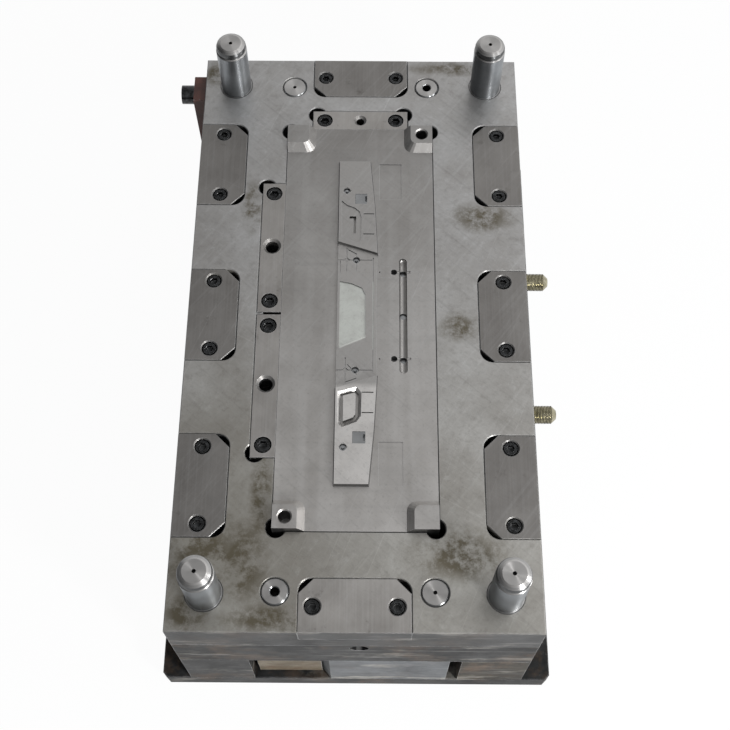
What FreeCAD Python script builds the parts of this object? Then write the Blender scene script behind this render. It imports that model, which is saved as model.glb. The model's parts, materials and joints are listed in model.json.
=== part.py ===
"""Moving half of an injection mould: plate stack, core insert, ejector set and lifters.

Millimetres. +X is right, +Y is back, +Z is up. The origin is the centre of the clamp
plate's underside, so the half stands on Z = 0 with its parting face up.
"""
import FreeCAD, Part

import math
import os

V = FreeCAD.Vector

# ------------------------------------------------------------------ clearances
RUN_GAP = 0.4           # radial, round pieces that slide in a plate
SEAT_GAP = 0.25         # radial, round pieces that stay in a plate
FLAT_GAP = 0.2          # flat faces that slide on each other
JOINT_LINE = 0.3        # open line round pieces let into the parting face

# ------------------------------------------------------------------ plate stack
PLATE_W = 400.0
PLATE_L = 750.0
CLAMP_W = 470.0
CLAMP_T = 30.0
CLAMP_CORNER = 6.0
SPACER_W = 78.0
SPACER_H = 100.0
SUPPORT_T = 76.0
CORE_T = 60.0
CLAMP_SCREW_INSET = 87.0    # outer clamp screws from the plate's end
PLATE_EDGE = 1.0        # broken edges of the plates
DOWEL_R = 10.0
DOWEL_L = 36.0
DOWEL_INSET = 130.0     # dowel centre from the plate's end

HALF_W = PLATE_W / 2
HALF_L = PLATE_L / 2
Z_SPACER = CLAMP_T
Z_SUPPORT = Z_SPACER + SPACER_H
Z_CORE = Z_SUPPORT + SUPPORT_T
Z_PART = Z_CORE + CORE_T
SPACER_X = HALF_W - SPACER_W
CLAMP_SCREW_Y = HALF_L - CLAMP_SCREW_INSET

# ------------------------------------------------------------------ guide pins
GUIDE_R = 19.0
GUIDE_FIT_R = 20.0      # part of the pin that sits in the core plate
GUIDE_INSET_X = 40.0    # pin centre from the plate's side
GUIDE_INSET_Y = 41.5    # pin centre from the plate's end
GUIDE_REACH = 82.0      # above the parting face
GUIDE_HEAD_R = 24.0
GUIDE_HEAD_T = 8.0
GUIDE_NOSE_L = 12.0
GUIDE_END_R = 12.6
GUIDE_LAND_R = 18.3     # guiding land between the rounded end and the oil groove
GUIDE_GROOVE_R = 17.3
HOLE_CHAMFER = 0.8
CENTRE_DRILL_R = 2.2

# ------------------------------------------------------------------ core insert
INSERT_W = 181.0
INSERT_END = 110.0      # core plate left beyond each end of the insert
INSERT_L = PLATE_L - 2 * INSERT_END
RELIEF_R = 11.0         # corner relief pockets in the core plate
LOCK_SIZE = 27.0        # top of a corner lock, square
LOCK_H = 10.0
LOCK_SLOPE = 8.0
LOCK_ROUND = 7.0
LOCK_THREAD_R = 7.0
LOCK_THREAD_DEPTH = 30.0

INSERT_X = INSERT_W / 2
INSERT_Y = INSERT_L / 2

# ------------------------------------------------------------------ wedge strips
STRIP_DEPTH = 40.0
STRIP_TAPER = 5.0       # degrees, outer wall of a strip
BACK_STRIP_W = 28.5
BACK_STRIP_L = 120.0
SIDE_STRIP_W = 28.5
SIDE_STRIP_L = 180.0
SIDE_STRIP_GAP = 3.0
SIDE_STRIP_SHIFT = 1.5  # middle of the pair, towards the back
STRIP_SCREW_END = 15.0  # screw centre from a strip's end
BACK_SCREW_PITCH = BACK_STRIP_L - 2 * STRIP_SCREW_END
SIDE_SCREW_PITCH = SIDE_STRIP_L - 2 * STRIP_SCREW_END
GROUND_EDGE = 0.6       # broken upper edges of strips and parting blocks
JACK_R = 8.0            # jacking thread in the middle of a side strip
BACK_JACK_R = 5.0

# ------------------------------------------------------------------ parting blocks
BLOCK_L = 120.0
BLOCK_W = 58.0
BLOCK_T = 30.0
BLOCK_CHAMFER = 16.0
POCKET_ROUND = 15.0
BLOCK_PITCH = 212.0
BLOCK_SCREW_END = 15.0  # screw centre from a block's end
BLOCK_SCREW_PITCH = BLOCK_L - 2 * BLOCK_SCREW_END
BLOCK_SCREW_INSET = 28.0

# ------------------------------------------------------------------ cap screws
SCREW_CLEAR = 1.0       # head room round a cap screw, on the radius
SHANK_CLEAR = 0.5
M8 = {"shank": 4.0, "head": 6.5, "height": 8.0, "socket": 3.0}
M10 = {"shank": 5.0, "head": 8.0, "height": 10.0, "socket": 4.0}
M12 = {"shank": 6.0, "head": 9.0, "height": 12.0, "socket": 5.0}
M16 = {"shank": 8.0, "head": 12.0, "height": 16.0, "socket": 7.0}
THREAD_L = 16.0         # engaged thread of the block and strip screws
THREAD_RUN_OUT = 4.0    # threaded hole left below a screw's end
SINK = 1.5              # head below the face it is let into

# ------------------------------------------------------------------ ejector set
EJECTOR_GAP = 6.0       # between the ejector plates and a spacer block
EJECTOR_SETBACK = 9.0   # ejector plates' ends behind the other plates' ends
EJECTOR_W = 2 * (SPACER_X - EJECTOR_GAP)
EJECTOR_X = EJECTOR_W / 2
EJECTOR_Y = HALF_L - EJECTOR_SETBACK
BUTTON_T = 5.0
BASE_T = 25.0
RETAINER_T = 25.0
STROKE = 35.0
Z_BASE = Z_SPACER + BUTTON_T
Z_RETAINER = Z_BASE + BASE_T
Z_EJECTOR_TOP = Z_RETAINER + RETAINER_T
LIMIT_T = Z_SUPPORT - Z_EJECTOR_TOP - STROKE
BUTTON_R = 12.0
BUTTON_X = EJECTOR_X - 18.0
BUTTON_Y = HALF_L - 90.0
LIMIT_X = 45.0
LIMIT_INSET = 60.0
EJECTOR_SCREW_X = EJECTOR_X - 41.0
EJECTOR_SCREW_Y = HALF_L - 85.0
KNOCKOUT_R = 25.0
KNOCKOUT_THREAD_R = 10.0

RETURN_R = 15.0
RETURN_X = EJECTOR_X - 31.0
RETURN_INSET_Y = 43.5
RETURN_HEAD_R = 18.0
RETURN_HEAD_T = 8.0
RETURN_TIP = 1.6        # chamfer at the pin's upper end
RETURN_HOLE_CHAMFER = 1.0
RETURN_THREAD_R = 5.0
RETURN_THREAD_DEPTH = 20.0

PIN_HEAD_T = 5.0
PIN_HEAD_EDGE = 2.0     # head radius over shank radius
RUNNER_PIN_R = 3.4
RUNNER_PIN_SINK = 9.0   # pin top below the parting face
PULLER_R = 3.6
PULLER_SINK = 7.0
SLEEVE_R = 3.8
SLEEVE_SINK = 3.0
CORE_PIN_R = 1.5
CORE_HEAD_R = CORE_PIN_R + PIN_HEAD_EDGE
CORE_HEAD_Z = 12.0

EJECT_GUIDE_R = 10.0
EJECT_GUIDE_X = EJECTOR_X - 26.0
EJECT_GUIDE_Y = HALF_L - 175.0
BUSH_WALL = 6.0

PILLAR_R = 22.0
PILLAR_X = EJECTOR_X - 36.0
PILLAR_Y = 110.0
END_PILLAR_Y = HALF_L - 113.0
PILLAR_ROOM = 2.5

FRONT_BLOCK_D = 18.0
FRONT_BLOCK_LEFT = -45.0    # at the back of the block
FRONT_BLOCK_SLANT = 15.0    # its left side comes in by this much at the front
FRONT_BLOCK_RIGHT = 108.0
FRONT_SCREW_END = 30.0
NOTCH_ROOM = 3.0
FRONT_SCREW_X = (FRONT_BLOCK_LEFT + FRONT_BLOCK_SLANT + FRONT_SCREW_END, FRONT_BLOCK_RIGHT - FRONT_SCREW_END)
FRONT_BLOCK_Y = -HALF_L + FRONT_BLOCK_D / 2

# ------------------------------------------------------------------ lifters
LIFT_ANGLE = 8.0
LIFT_SIDE = 14.0
LIFT_X = 2.4            # head centre at the moulding face
LIFT_Y = 157.5
LIFT_ROOM = 1.5
LIFT_SINK = 0.4
FOOT_L = 30.0
FOOT_W = 26.0
FOOT_T = 7.0
FOOT_NECK = 18.0
SHOE_L = 62.0
SHOE_W = 40.0
GUIDE_BLOCK = 44.0
GUIDE_BLOCK_T = 20.0
UNDERCUT_W = 8.0
UNDERCUT_D = 2.4
UNDERCUT_H = 6.0

# ------------------------------------------------------------------ core form
FORM_H = 5.5
FORM_MID_H = 2.0
FORM_DRAFT = 1.2
FORM_STEP_RUN = 2.0
FORM_END = 212.6
FORM_LEFT = -24.6
FORM_RIGHT_END = 13.2
FORM_RIGHT_MID = 19.0
FORM_RIGHT_STEP = 22.4
FORM_MID_RIGHT = 17.5
STEP_LEFT_Y = 97.0
STEP_RIGHT_Y = 81.0
SLEEVE_END = (-15.2, 169.2)     # ejector sleeve in an end panel
SLEEVE_MID = (-2.7, 72.9)       # ejector sleeve in the middle panel
BOSS_X = -14.2
BOSS_R = 4.0
HALO_R = 6.0            # flat diamond round a sleeve
HALO_D = 0.5
PAD_D = 1.3
PAD_SLOPE = 3.5         # run of the pad's slanted front wall
SEAM_W = 1.3
SEAM_D = 2.5
SLOT_W = 3.2
ISLAND_GROOVE = 3.3
ISLAND_FLARE = 3.2
ISLAND_FLARE_D = 3.0
VENT_R = 0.9
VENT_X = 25.3
VENT_D = 3.0
LAND_X = (24.5, 52.0)   # shut-off lands right of the form
LAND_Y = (160.5, 212.5)
LAND_D = 0.8

# ------------------------------------------------------------------ runner
RUNNER_X = 53.0
RUNNER_R = 4.75
RUNNER_END = 71.5
GATE_Y = 57.5
GATE_PIN_OFFSET = 10.8
GATE_STUB = 9.0
GATE_STUB_R = 1.7
GATE_LEFT_W = 12.0
GATE_LEFT_L = 15.0
GATE_RIGHT_W = 14.0
GATE_RIGHT_L = 11.0
GATE_T = 20.0

# ------------------------------------------------------------------ outside fittings
WATER_Y = 91.0
WATER_DROP = 82.0       # below the parting face
WATER_BODY_R = 10.3
WATER_HEX = 22.0
WATER_HEX_L = 9.0
WATER_BODY_L = 23.5
WATER_CONE_L = 5.0
WATER_MOUTH_R = 5.5
WATER_BORE_R = 4.0
WATER_THREAD_R = 8.0
WATER_THREAD_L = 16.0
WATER_CHANNEL_R = 5.0
WATER_CHANNEL_L = 120.0

LIFT_EYE_X = 4.5
LIFT_EYE_DROP = 72.0
LIFT_EYE_R = 10.5
LIFT_EYE_DEPTH = 45.0

STRAP_W = 37.0
STRAP_T = 15.0
STRAP_L = 150.0
STRAP_INSET_Y = 43.5
STRAP_BOLT_DROP = 17.0
STRAP_TOP = 13.0        # strap's end above its bolt
STRAP_SIDE_GAP = 0.5
STRAP_SLOT_R = 9.0
STRAP_SLOT_UP = 20.0    # slot centre above the strap's lower end
STRAP_THREAD = 16.0

WATER_Z = Z_PART - WATER_DROP
STRAP_Y = HALF_L - STRAP_INSET_Y
STRAP_Z = Z_PART - STRAP_BOLT_DROP


# ================================================================== helpers
def box(x0, x1, y0, y1, z0, z1):
    return Part.makeBox(x1 - x0, y1 - y0, z1 - z0, V(x0, y0, z0))


def cyl(r, x, y, z0, z1):
    return Part.makeCylinder(r, z1 - z0, V(x, y, z0), V(0, 0, 1))


def cyl_x(r, x0, x1, y, z):
    return Part.makeCylinder(r, x1 - x0, V(x0, y, z), V(1, 0, 0))


def cyl_y(r, x, y0, y1, z):
    return Part.makeCylinder(r, y1 - y0, V(x, y0, z), V(0, 1, 0))


def cone(r0, r1, x, y, z0, z1):
    return Part.makeCone(r0, r1, z1 - z0, V(x, y, z0), V(0, 0, 1))


def wire(points, z=0.0):
    corners = [V(x, y, z) for x, y in points]
    return Part.makePolygon(corners + corners[:1])


def prism(points, z0, z1):
    return Part.Face(wire(points, z0)).extrude(V(0, 0, z1 - z0))


def drafted(base, top, z0, z1):
    """Solid between two outlines with the same corners, one above the other."""
    return Part.makeLoft([wire(base, z0), wire(top, z1)], True, True)


def round_uprights(solid, radius, keep):
    """Fillet the upright edges whose middle point passes the keep test."""
    picked = []
    for edge in solid.Edges:
        if len(edge.Vertexes) != 2:
            continue
        a = edge.Vertexes[0].Point
        b = edge.Vertexes[1].Point
        upright = abs(a.x - b.x) < 1e-6 and abs(a.y - b.y) < 1e-6
        if upright and keep(a.x, a.y):
            picked.append(edge)
    return solid.makeFillet(radius, picked)


def break_edges(solid, size, z=None):
    """Chamfer a solid's straight edges, either all of them or those at height z."""
    picked = []
    for edge in solid.Edges:
        level = z is None or all(abs(corner.Z - z) < 1e-6 for corner in edge.Vertexes)
        if len(edge.Vertexes) == 2 and level:
            picked.append(edge)
    return solid.makeChamfer(size, picked)


def revolved(profile, x, y):
    """Turn (radius, height) points about the upright axis at x, y."""
    face = Part.Face(Part.makePolygon([V(r, 0, z) for r, z in profile + profile[:1]]))
    solid = face.revolve(V(0, 0, 0), V(0, 0, 1), 360)
    solid.translate(V(x, y, 0))
    return solid


def slot_box(x0, y0, x1, y1, width, z0, z1):
    """Straight-sided groove between two points on the plan."""
    run = math.hypot(x1 - x0, y1 - y0)
    bar = Part.makeBox(run, width, z1 - z0, V(0, -width / 2, z0))
    bar.rotate(V(0, 0, 0), V(0, 0, 1), math.degrees(math.atan2(y1 - y0, x1 - x0)))
    bar.translate(V(x0, y0, 0))
    return bar


def cut(solid, tools):
    return solid.cut(tools)


def union(first, others):
    return first.fuse(others).removeSplitter()


def group(solids):
    return Part.makeCompound(solids)


def hex_prism(across_flats, z0, z1):
    r = across_flats / math.sqrt(3)
    points = [(r * math.cos(math.radians(60 * i)), r * math.sin(math.radians(60 * i))) for i in range(6)]
    return prism(points, z0, z1)


def cap_screw(size, x, y, z_head, length):
    """Socket cap screw pointing down, with its head's top at z_head."""
    head = cyl(size["head"], 0, 0, -size["height"], 0)
    shank = cyl(size["shank"], 0, 0, -size["height"] - length, -size["height"])
    socket = hex_prism(2 * size["socket"], -size["height"] / 2, 0)
    screw = union(head, [shank]).cut(socket)
    screw.translate(V(x, y, z_head))
    return screw


def cap_screw_up(size, x, y, z_head, length):
    """Socket cap screw pointing up, with its head's end face at z_head."""
    screw = cap_screw(size, 0, 0, 0, length)
    screw.rotate(V(0, 0, 0), V(1, 0, 0), 180)
    screw.translate(V(x, y, z_head))
    return screw


def screw_room(size, x, y, z_face, z_end):
    """Counterbore and clearance hole down from z_face."""
    seat = z_face - SINK - size["height"]
    wide = cyl(size["head"] + SCREW_CLEAR, x, y, seat, z_face)
    return wide.fuse(cyl(size["shank"] + SHANK_CLEAR, x, y, z_end, seat))


def screw_room_up(size, x, y, z_face, z_end):
    """Counterbore and clearance hole up from z_face."""
    seat = z_face + SINK + size["height"]
    wide = cyl(size["head"] + SCREW_CLEAR, x, y, z_face, seat)
    return wide.fuse(cyl(size["shank"] + SHANK_CLEAR, x, y, seat, z_end))


def thread_hole(size, x, y, z0, z1):
    return cyl(size["shank"] + SEAT_GAP, x, y, z0, z1)


def four(x, y):
    return {"back_left": (-x, y), "back_right": (x, y), "front_left": (-x, -y), "front_right": (x, -y)}


# ================================================================== places
GUIDE_AT = four(HALF_W - GUIDE_INSET_X, HALF_L - GUIDE_INSET_Y)
RETURN_AT = four(RETURN_X, HALF_L - RETURN_INSET_Y)
EJECT_GUIDE_AT = list(four(EJECT_GUIDE_X, EJECT_GUIDE_Y).values())
PILLAR_AT = list(four(PILLAR_X, PILLAR_Y).values()) + [(0.0, END_PILLAR_Y), (0.0, -END_PILLAR_Y)]
CLAMP_SCREW_X = HALF_W - SPACER_W / 2
CLAMP_SCREW_AT = [(sx * CLAMP_SCREW_X, y) for sx in (-1, 1) for y in (-CLAMP_SCREW_Y, 0.0, CLAMP_SCREW_Y)]
INSERT_SCREW_AT = list(four(INSERT_X - 20, INSERT_Y - 32).values())
INSERT_SCREW_AT += [(INSERT_X - 18, 0.0), (18 - INSERT_X, 0.0)]
DOWEL_AT = list(four(CLAMP_SCREW_X, HALF_L - DOWEL_INSET).values())
BUTTON_AT = [(sx * BUTTON_X, y) for sx in (-1, 1) for y in (-BUTTON_Y, 0.0, BUTTON_Y)]
LIMIT_AT = list(four(LIMIT_X, HALF_L - LIMIT_INSET).values())
RUNNER_PIN_AT = [(RUNNER_X + dx, sy * GATE_Y) for dx in (0.0, -GATE_PIN_OFFSET) for sy in (-1, 1)]
SLEEVE_AT = [(x, sy * y) for x, y in (SLEEVE_END, SLEEVE_MID) for sy in (1, -1)]
EJECTOR_SCREW_AT = [
    (sx * EJECTOR_SCREW_X, y) for sx in (-1, 1) for y in (-EJECTOR_SCREW_Y, 0.0, EJECTOR_SCREW_Y)]
LIFT_AT = {"rear": LIFT_Y, "front": -LIFT_Y}

SIDE_STRIP_X = -INSERT_X - SIDE_STRIP_W / 2
BACK_STRIP_Y = INSERT_Y + BACK_STRIP_W / 2
SIDE_STRIP_Y = {
    "rear": SIDE_STRIP_SHIFT + (SIDE_STRIP_L + SIDE_STRIP_GAP) / 2,
    "front": SIDE_STRIP_SHIFT - (SIDE_STRIP_L + SIDE_STRIP_GAP) / 2,
}


# ================================================================== parting blocks
def block_blank(inset, chamfered):
    """One block or pocket, lying along X with its outer face at Y = 0 and going to -Y."""
    half = BLOCK_L / 2 + inset
    depth = BLOCK_W + inset
    c = BLOCK_CHAMFER if chamfered else 0.0
    if not chamfered:
        blank = box(-half, half, -depth, 0, Z_PART - BLOCK_T, Z_PART)
        return round_uprights(blank, POCKET_ROUND, lambda x, y: y < -1)
    points = [(-half, 0), (-half, c - depth), (c - half, -depth),
              (half - c, -depth), (half, c - depth), (half, 0)]
    return prism(points, Z_PART - BLOCK_T, Z_PART)


BLOCK_PLACES = {
    "back": (0.0, 0.0, HALF_L),
    "front": (180.0, 0.0, -HALF_L),
    "left_rear": (90.0, -HALF_W, BLOCK_PITCH),
    "left_middle": (90.0, -HALF_W, 0.0),
    "left_front": (90.0, -HALF_W, -BLOCK_PITCH),
    "right_rear": (-90.0, HALF_W, BLOCK_PITCH),
    "right_middle": (-90.0, HALF_W, 0.0),
    "right_front": (-90.0, HALF_W, -BLOCK_PITCH),
}


def at_block(solid, place):
    turn, x, y = BLOCK_PLACES[place]
    moved = solid.copy()
    moved.rotate(V(0, 0, 0), V(0, 0, 1), turn)
    moved.translate(V(x, y, 0))
    return moved


def block_screw_x():
    return (-BLOCK_SCREW_PITCH / 2, BLOCK_SCREW_PITCH / 2)


def parting_block():
    rooms = []
    for x in block_screw_x():
        rooms.append(screw_room(M10, x, -BLOCK_SCREW_INSET, Z_PART, Z_PART - BLOCK_T))
        top = M10["head"] + SCREW_CLEAR
        rooms.append(cone(top, top + 1.2, x, -BLOCK_SCREW_INSET, Z_PART - 1.2, Z_PART))
    return cut(break_edges(block_blank(0.0, True), GROUND_EDGE, Z_PART), rooms)


def parting_block_screw(x):
    seat = Z_PART - SINK
    return cap_screw(M10, x, -BLOCK_SCREW_INSET, seat, BLOCK_T - SINK - M10["height"] + THREAD_L)


def block_pocket():
    floor = Z_PART - BLOCK_T
    tools = [block_blank(JOINT_LINE, False)]
    for x in block_screw_x():
        tools.append(thread_hole(M10, x, -BLOCK_SCREW_INSET, floor - THREAD_L - THREAD_RUN_OUT, floor))
    return group(tools)


# ================================================================== wedge strips
def strip_blank(length, width, grow):
    """Strip along X, inner wall at Y = 0, outer wall at +Y leaning in towards the bottom."""
    lean = STRIP_DEPTH * math.tan(math.radians(STRIP_TAPER))
    z0 = Z_PART - STRIP_DEPTH
    outline = [V(0, 0, z0), V(0, width + grow - lean, z0), V(0, width + grow, Z_PART), V(0, 0, Z_PART)]
    face = Part.Face(Part.makePolygon(outline + outline[:1]))
    solid = face.extrude(V(length + 2 * grow, 0, 0))
    solid.translate(V(-length / 2 - grow, 0, 0))
    return solid


def strip(length, width, pitch, jack_r):
    tools = []
    mid = width / 2
    for x in (-pitch / 2, pitch / 2):
        tools.append(screw_room(M12, x, mid, Z_PART, Z_PART - STRIP_DEPTH))
    tools.append(cyl(jack_r, 0, mid, Z_PART - STRIP_DEPTH, Z_PART))
    tools.append(cone(jack_r, jack_r + 3, 0, mid, Z_PART - 3, Z_PART))
    return cut(break_edges(strip_blank(length, width, 0.0), GROUND_EDGE, Z_PART), tools)


def strip_screws(width, pitch):
    shank = STRIP_DEPTH - SINK - M12["height"] + THREAD_L
    return [cap_screw(M12, x, width / 2, Z_PART - SINK, shank) for x in (-pitch / 2, pitch / 2)]


def strip_pocket(length, width, pitch, reliefs):
    z0 = Z_PART - STRIP_DEPTH
    tools = [strip_blank(length, width, JOINT_LINE)]
    for x in (-pitch / 2, pitch / 2):
        tools.append(thread_hole(M12, x, width / 2, z0 - THREAD_L - 2, z0))
    for x in reliefs:
        tools.append(cyl(RELIEF_R, x, width - RELIEF_R / 2, z0, Z_PART))
    return group(tools)


def at_back(solid):
    moved = solid.copy()
    moved.translate(V(0, INSERT_Y, 0))
    return moved


def at_side(solid, which):
    moved = solid.copy()
    moved.rotate(V(0, 0, 0), V(0, 0, 1), 90)
    moved.translate(V(-INSERT_X, SIDE_STRIP_Y[which], 0))
    return moved


# ================================================================== plates
def clamp_plate():
    plate = box(-CLAMP_W / 2, CLAMP_W / 2, -HALF_L, HALF_L, 0, CLAMP_T)
    uprights = [e for e in plate.Edges if abs(e.Vertexes[0].Z - e.Vertexes[1].Z) > 1]
    plate = break_edges(plate.makeChamfer(CLAMP_CORNER, uprights), PLATE_EDGE, CLAMP_T)
    tools = [cyl(KNOCKOUT_R, 0, 0, 0, CLAMP_T)]
    tools += [screw_room_up(M16, x, y, 0, CLAMP_T) for x, y in CLAMP_SCREW_AT]
    tools += [screw_room_up(M10, x, y, 0, CLAMP_T) for x, y in PILLAR_AT]
    tools += [screw_room_up(M8, x, FRONT_BLOCK_Y, 0, CLAMP_T) for x in FRONT_SCREW_X]
    tools += [cyl(EJECT_GUIDE_R + SEAT_GAP, x, y, CLAMP_T - 15, CLAMP_T) for x, y in EJECT_GUIDE_AT]
    for x, y in SLEEVE_AT:
        tools.append(cyl(CORE_PIN_R + SEAT_GAP, x, y, 0, CLAMP_T))
        tools.append(cyl(CORE_HEAD_R + SEAT_GAP, x, y, 0, CORE_HEAD_Z + PIN_HEAD_T))
    return cut(plate, tools)


def spacer_block(side):
    inner = side * SPACER_X
    outer = side * HALF_W
    block = box(min(inner, outer), max(inner, outer), -HALF_L, HALF_L, Z_SPACER, Z_SUPPORT)
    tools = []
    for x, y in CLAMP_SCREW_AT:
        if x * side > 0:
            tools.append(cyl(M16["shank"] + SHANK_CLEAR, x, y, Z_SPACER, Z_SUPPORT))
    for x, y in DOWEL_AT:
        if x * side > 0:
            tools.append(cyl(DOWEL_R + SEAT_GAP, x, y, Z_SUPPORT - DOWEL_L / 2, Z_SUPPORT))
    return cut(block, tools)


def support_plate():
    plate = box(-HALF_W, HALF_W, -HALF_L, HALF_L, Z_SUPPORT, Z_CORE)
    tools = [cyl(M16["shank"] + SHANK_CLEAR, x, y, Z_SUPPORT, Z_CORE) for x, y in CLAMP_SCREW_AT]
    tools += [cyl(RETURN_R + RUN_GAP, x, y, Z_SUPPORT, Z_CORE) for x, y in RETURN_AT.values()]
    tools += [cyl(DOWEL_R + SEAT_GAP, x, y, Z_SUPPORT, Z_SUPPORT + DOWEL_L / 2) for x, y in DOWEL_AT]
    tools += [screw_room_up(M10, x, y, Z_SUPPORT, Z_CORE) for x, y in INSERT_SCREW_AT]
    tools += [thread_hole(M10, x, y, Z_SUPPORT, Z_SUPPORT + THREAD_L + THREAD_RUN_OUT) for x, y in PILLAR_AT]
    tools += [cyl(EJECT_GUIDE_R + SEAT_GAP, x, y, Z_SUPPORT, Z_SUPPORT + 15) for x, y in EJECT_GUIDE_AT]
    tools += [cyl(RUNNER_PIN_R + RUN_GAP, x, y, Z_SUPPORT, Z_CORE) for x, y in RUNNER_PIN_AT]
    tools.append(cyl(PULLER_R + RUN_GAP, RUNNER_X, 0, Z_SUPPORT, Z_CORE))
    tools += [cyl(SLEEVE_R + RUN_GAP, x, y, Z_SUPPORT, Z_CORE) for x, y in SLEEVE_AT]
    tools += [lifter_room(y, LIFT_ROOM) for y in LIFT_AT.values()]
    tools += [guide_block_blank(y) for y in LIFT_AT.values()]
    for sy in (-1, 1):
        y = sy * WATER_Y
        tools.append(cyl_x(WATER_THREAD_R + SEAT_GAP, HALF_W - WATER_THREAD_L - 2, HALF_W, y, WATER_Z))
        tools.append(cyl_x(WATER_CHANNEL_R, HALF_W - WATER_CHANNEL_L, HALF_W, y, WATER_Z))
    tools.append(cyl_y(LIFT_EYE_R, LIFT_EYE_X, -HALF_L, LIFT_EYE_DEPTH - HALF_L, Z_PART - LIFT_EYE_DROP))
    return cut(plate, tools)


def core_plate():
    plate = box(-HALF_W, HALF_W, -HALF_L, HALF_L, Z_CORE, Z_PART)
    g = JOINT_LINE
    tools = [box(-INSERT_X - g, INSERT_X + g, -INSERT_Y - g, INSERT_Y + g, Z_CORE, Z_PART)]
    nudge = RELIEF_R / 3
    for x, y in four(INSERT_X - nudge, INSERT_Y - nudge).values():
        tools.append(cyl(RELIEF_R, x, y, Z_CORE, Z_PART))
    for x, y in GUIDE_AT.values():
        r = GUIDE_FIT_R + SEAT_GAP
        tools.append(cyl(r, x, y, Z_CORE, Z_PART))
        tools.append(cyl(GUIDE_HEAD_R + SEAT_GAP, x, y, Z_CORE, Z_CORE + GUIDE_HEAD_T))
        tools.append(cone(r, r + HOLE_CHAMFER, x, y, Z_PART - HOLE_CHAMFER, Z_PART))
    for x, y in RETURN_AT.values():
        r = RETURN_R + RUN_GAP
        tools.append(cyl(r, x, y, Z_CORE, Z_PART))
        tools.append(cone(r, r + RETURN_HOLE_CHAMFER, x, y, Z_PART - RETURN_HOLE_CHAMFER, Z_PART))
    tools += [thread_hole(M16, x, y, Z_CORE, Z_CORE + 2 * M16["shank"] + 8) for x, y in CLAMP_SCREW_AT]
    tools += [at_block(block_pocket(), place) for place in BLOCK_PLACES]
    tools.append(at_back(strip_pocket(BACK_STRIP_L, BACK_STRIP_W, BACK_SCREW_PITCH, back_reliefs())))
    for which in SIDE_STRIP_Y:
        pocket = strip_pocket(SIDE_STRIP_L, SIDE_STRIP_W, SIDE_SCREW_PITCH, side_reliefs(which))
        tools.append(at_side(pocket, which))
    x = SIDE_STRIP_X - SIDE_STRIP_W / 4
    y0 = SIDE_STRIP_SHIFT - SIDE_STRIP_GAP
    y1 = SIDE_STRIP_SHIFT + SIDE_STRIP_GAP
    tools.append(box(x, -INSERT_X, y0, y1, Z_PART - STRIP_DEPTH, Z_PART))
    tools.append(cyl_x(M16["shank"] + SEAT_GAP, -HALF_W, STRAP_THREAD - HALF_W, STRAP_Y, STRAP_Z))
    return break_edges(cut(plate, tools), PLATE_EDGE, Z_PART)


def back_reliefs():
    return (RELIEF_R / 2 - BACK_STRIP_L / 2, BACK_STRIP_L / 2 - RELIEF_R / 2)


def side_reliefs(which):
    """The outer end of each side strip; a quarter turn puts +X at the back."""
    end = SIDE_STRIP_L / 2 - RELIEF_R / 2
    return (end,) if which == "rear" else (-end,)


# ================================================================== core insert
def lock_outline(size, radius):
    """Corner lock at the insert's +X +Y corner: square with its inner corner rounded."""
    x0 = INSERT_X - size
    y0 = INSERT_Y - size
    arc = []
    for i in range(5):
        a = math.radians(180 + 22.5 * i)
        arc.append((x0 + radius + radius * math.cos(a), y0 + radius + radius * math.sin(a)))
    return [(INSERT_X, INSERT_Y), (x0, INSERT_Y)] + arc + [(INSERT_X, y0)]


def corner_lock():
    base = lock_outline(LOCK_SIZE + LOCK_SLOPE, LOCK_ROUND + LOCK_SLOPE / 2)
    return drafted(base, lock_outline(LOCK_SIZE, LOCK_ROUND), Z_PART, Z_PART + LOCK_H)


def corner_locks():
    lock = corner_lock()
    flip_x = lock.mirror(V(0, 0, 0), V(1, 0, 0))
    flip_y = lock.mirror(V(0, 0, 0), V(0, 1, 0))
    return [lock, flip_x, flip_y, flip_x.mirror(V(0, 0, 0), V(0, 1, 0))]


def panel_outline(grow, run):
    """End panel of the moulded strip on the +Y side; run carries its inner end on."""
    left = FORM_LEFT - grow
    return [
        (left, STEP_LEFT_Y - run),
        (FORM_RIGHT_STEP + grow, STEP_RIGHT_Y - run),
        (FORM_RIGHT_MID + grow, (STEP_RIGHT_Y + FORM_END) / 2),
        (FORM_RIGHT_END + grow, FORM_END + grow),
        (left, FORM_END + grow),
    ]


def end_panel():
    base = panel_outline(FORM_DRAFT, FORM_STEP_RUN)
    return drafted(base, panel_outline(0.0, 0.0), Z_PART, Z_PART + FORM_H)


def middle_panel():
    points = [(FORM_LEFT, STEP_LEFT_Y), (FORM_LEFT, -STEP_LEFT_Y), (FORM_RIGHT_STEP, -STEP_RIGHT_Y),
              (FORM_MID_RIGHT + 3.5, 0), (FORM_RIGHT_STEP, STEP_RIGHT_Y)]
    return prism(points, Z_PART, Z_PART + FORM_MID_H)


def diamond(x, y, r, z0, z1):
    return prism([(x - r, y), (x, y - r), (x + r, y), (x, y + r)], z0, z1)


def island_groove(top):
    """Deep groove round an island, its outer wall opening out near the top."""
    grooved = [(-19.2, -104.1), (-1.9, -99.2), (1.7, -103.9), (1.4, -130.4),
               (-2.3, -136), (-16, -141.7), (-19, -138.5)]
    flare_z = top - ISLAND_FLARE_D
    low = wire(grooved, flare_z)
    high = wire(grooved, top).makeOffset2D(ISLAND_FLARE, 2)
    island = Part.Face(wire(grooved, Z_PART).makeOffset2D(-ISLAND_GROOVE, 2)).extrude(V(0, 0, FORM_H))
    groove = prism(grooved, Z_PART, flare_z).fuse(Part.makeLoft([low, high], True, True))
    return groove.cut(island)


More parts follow.
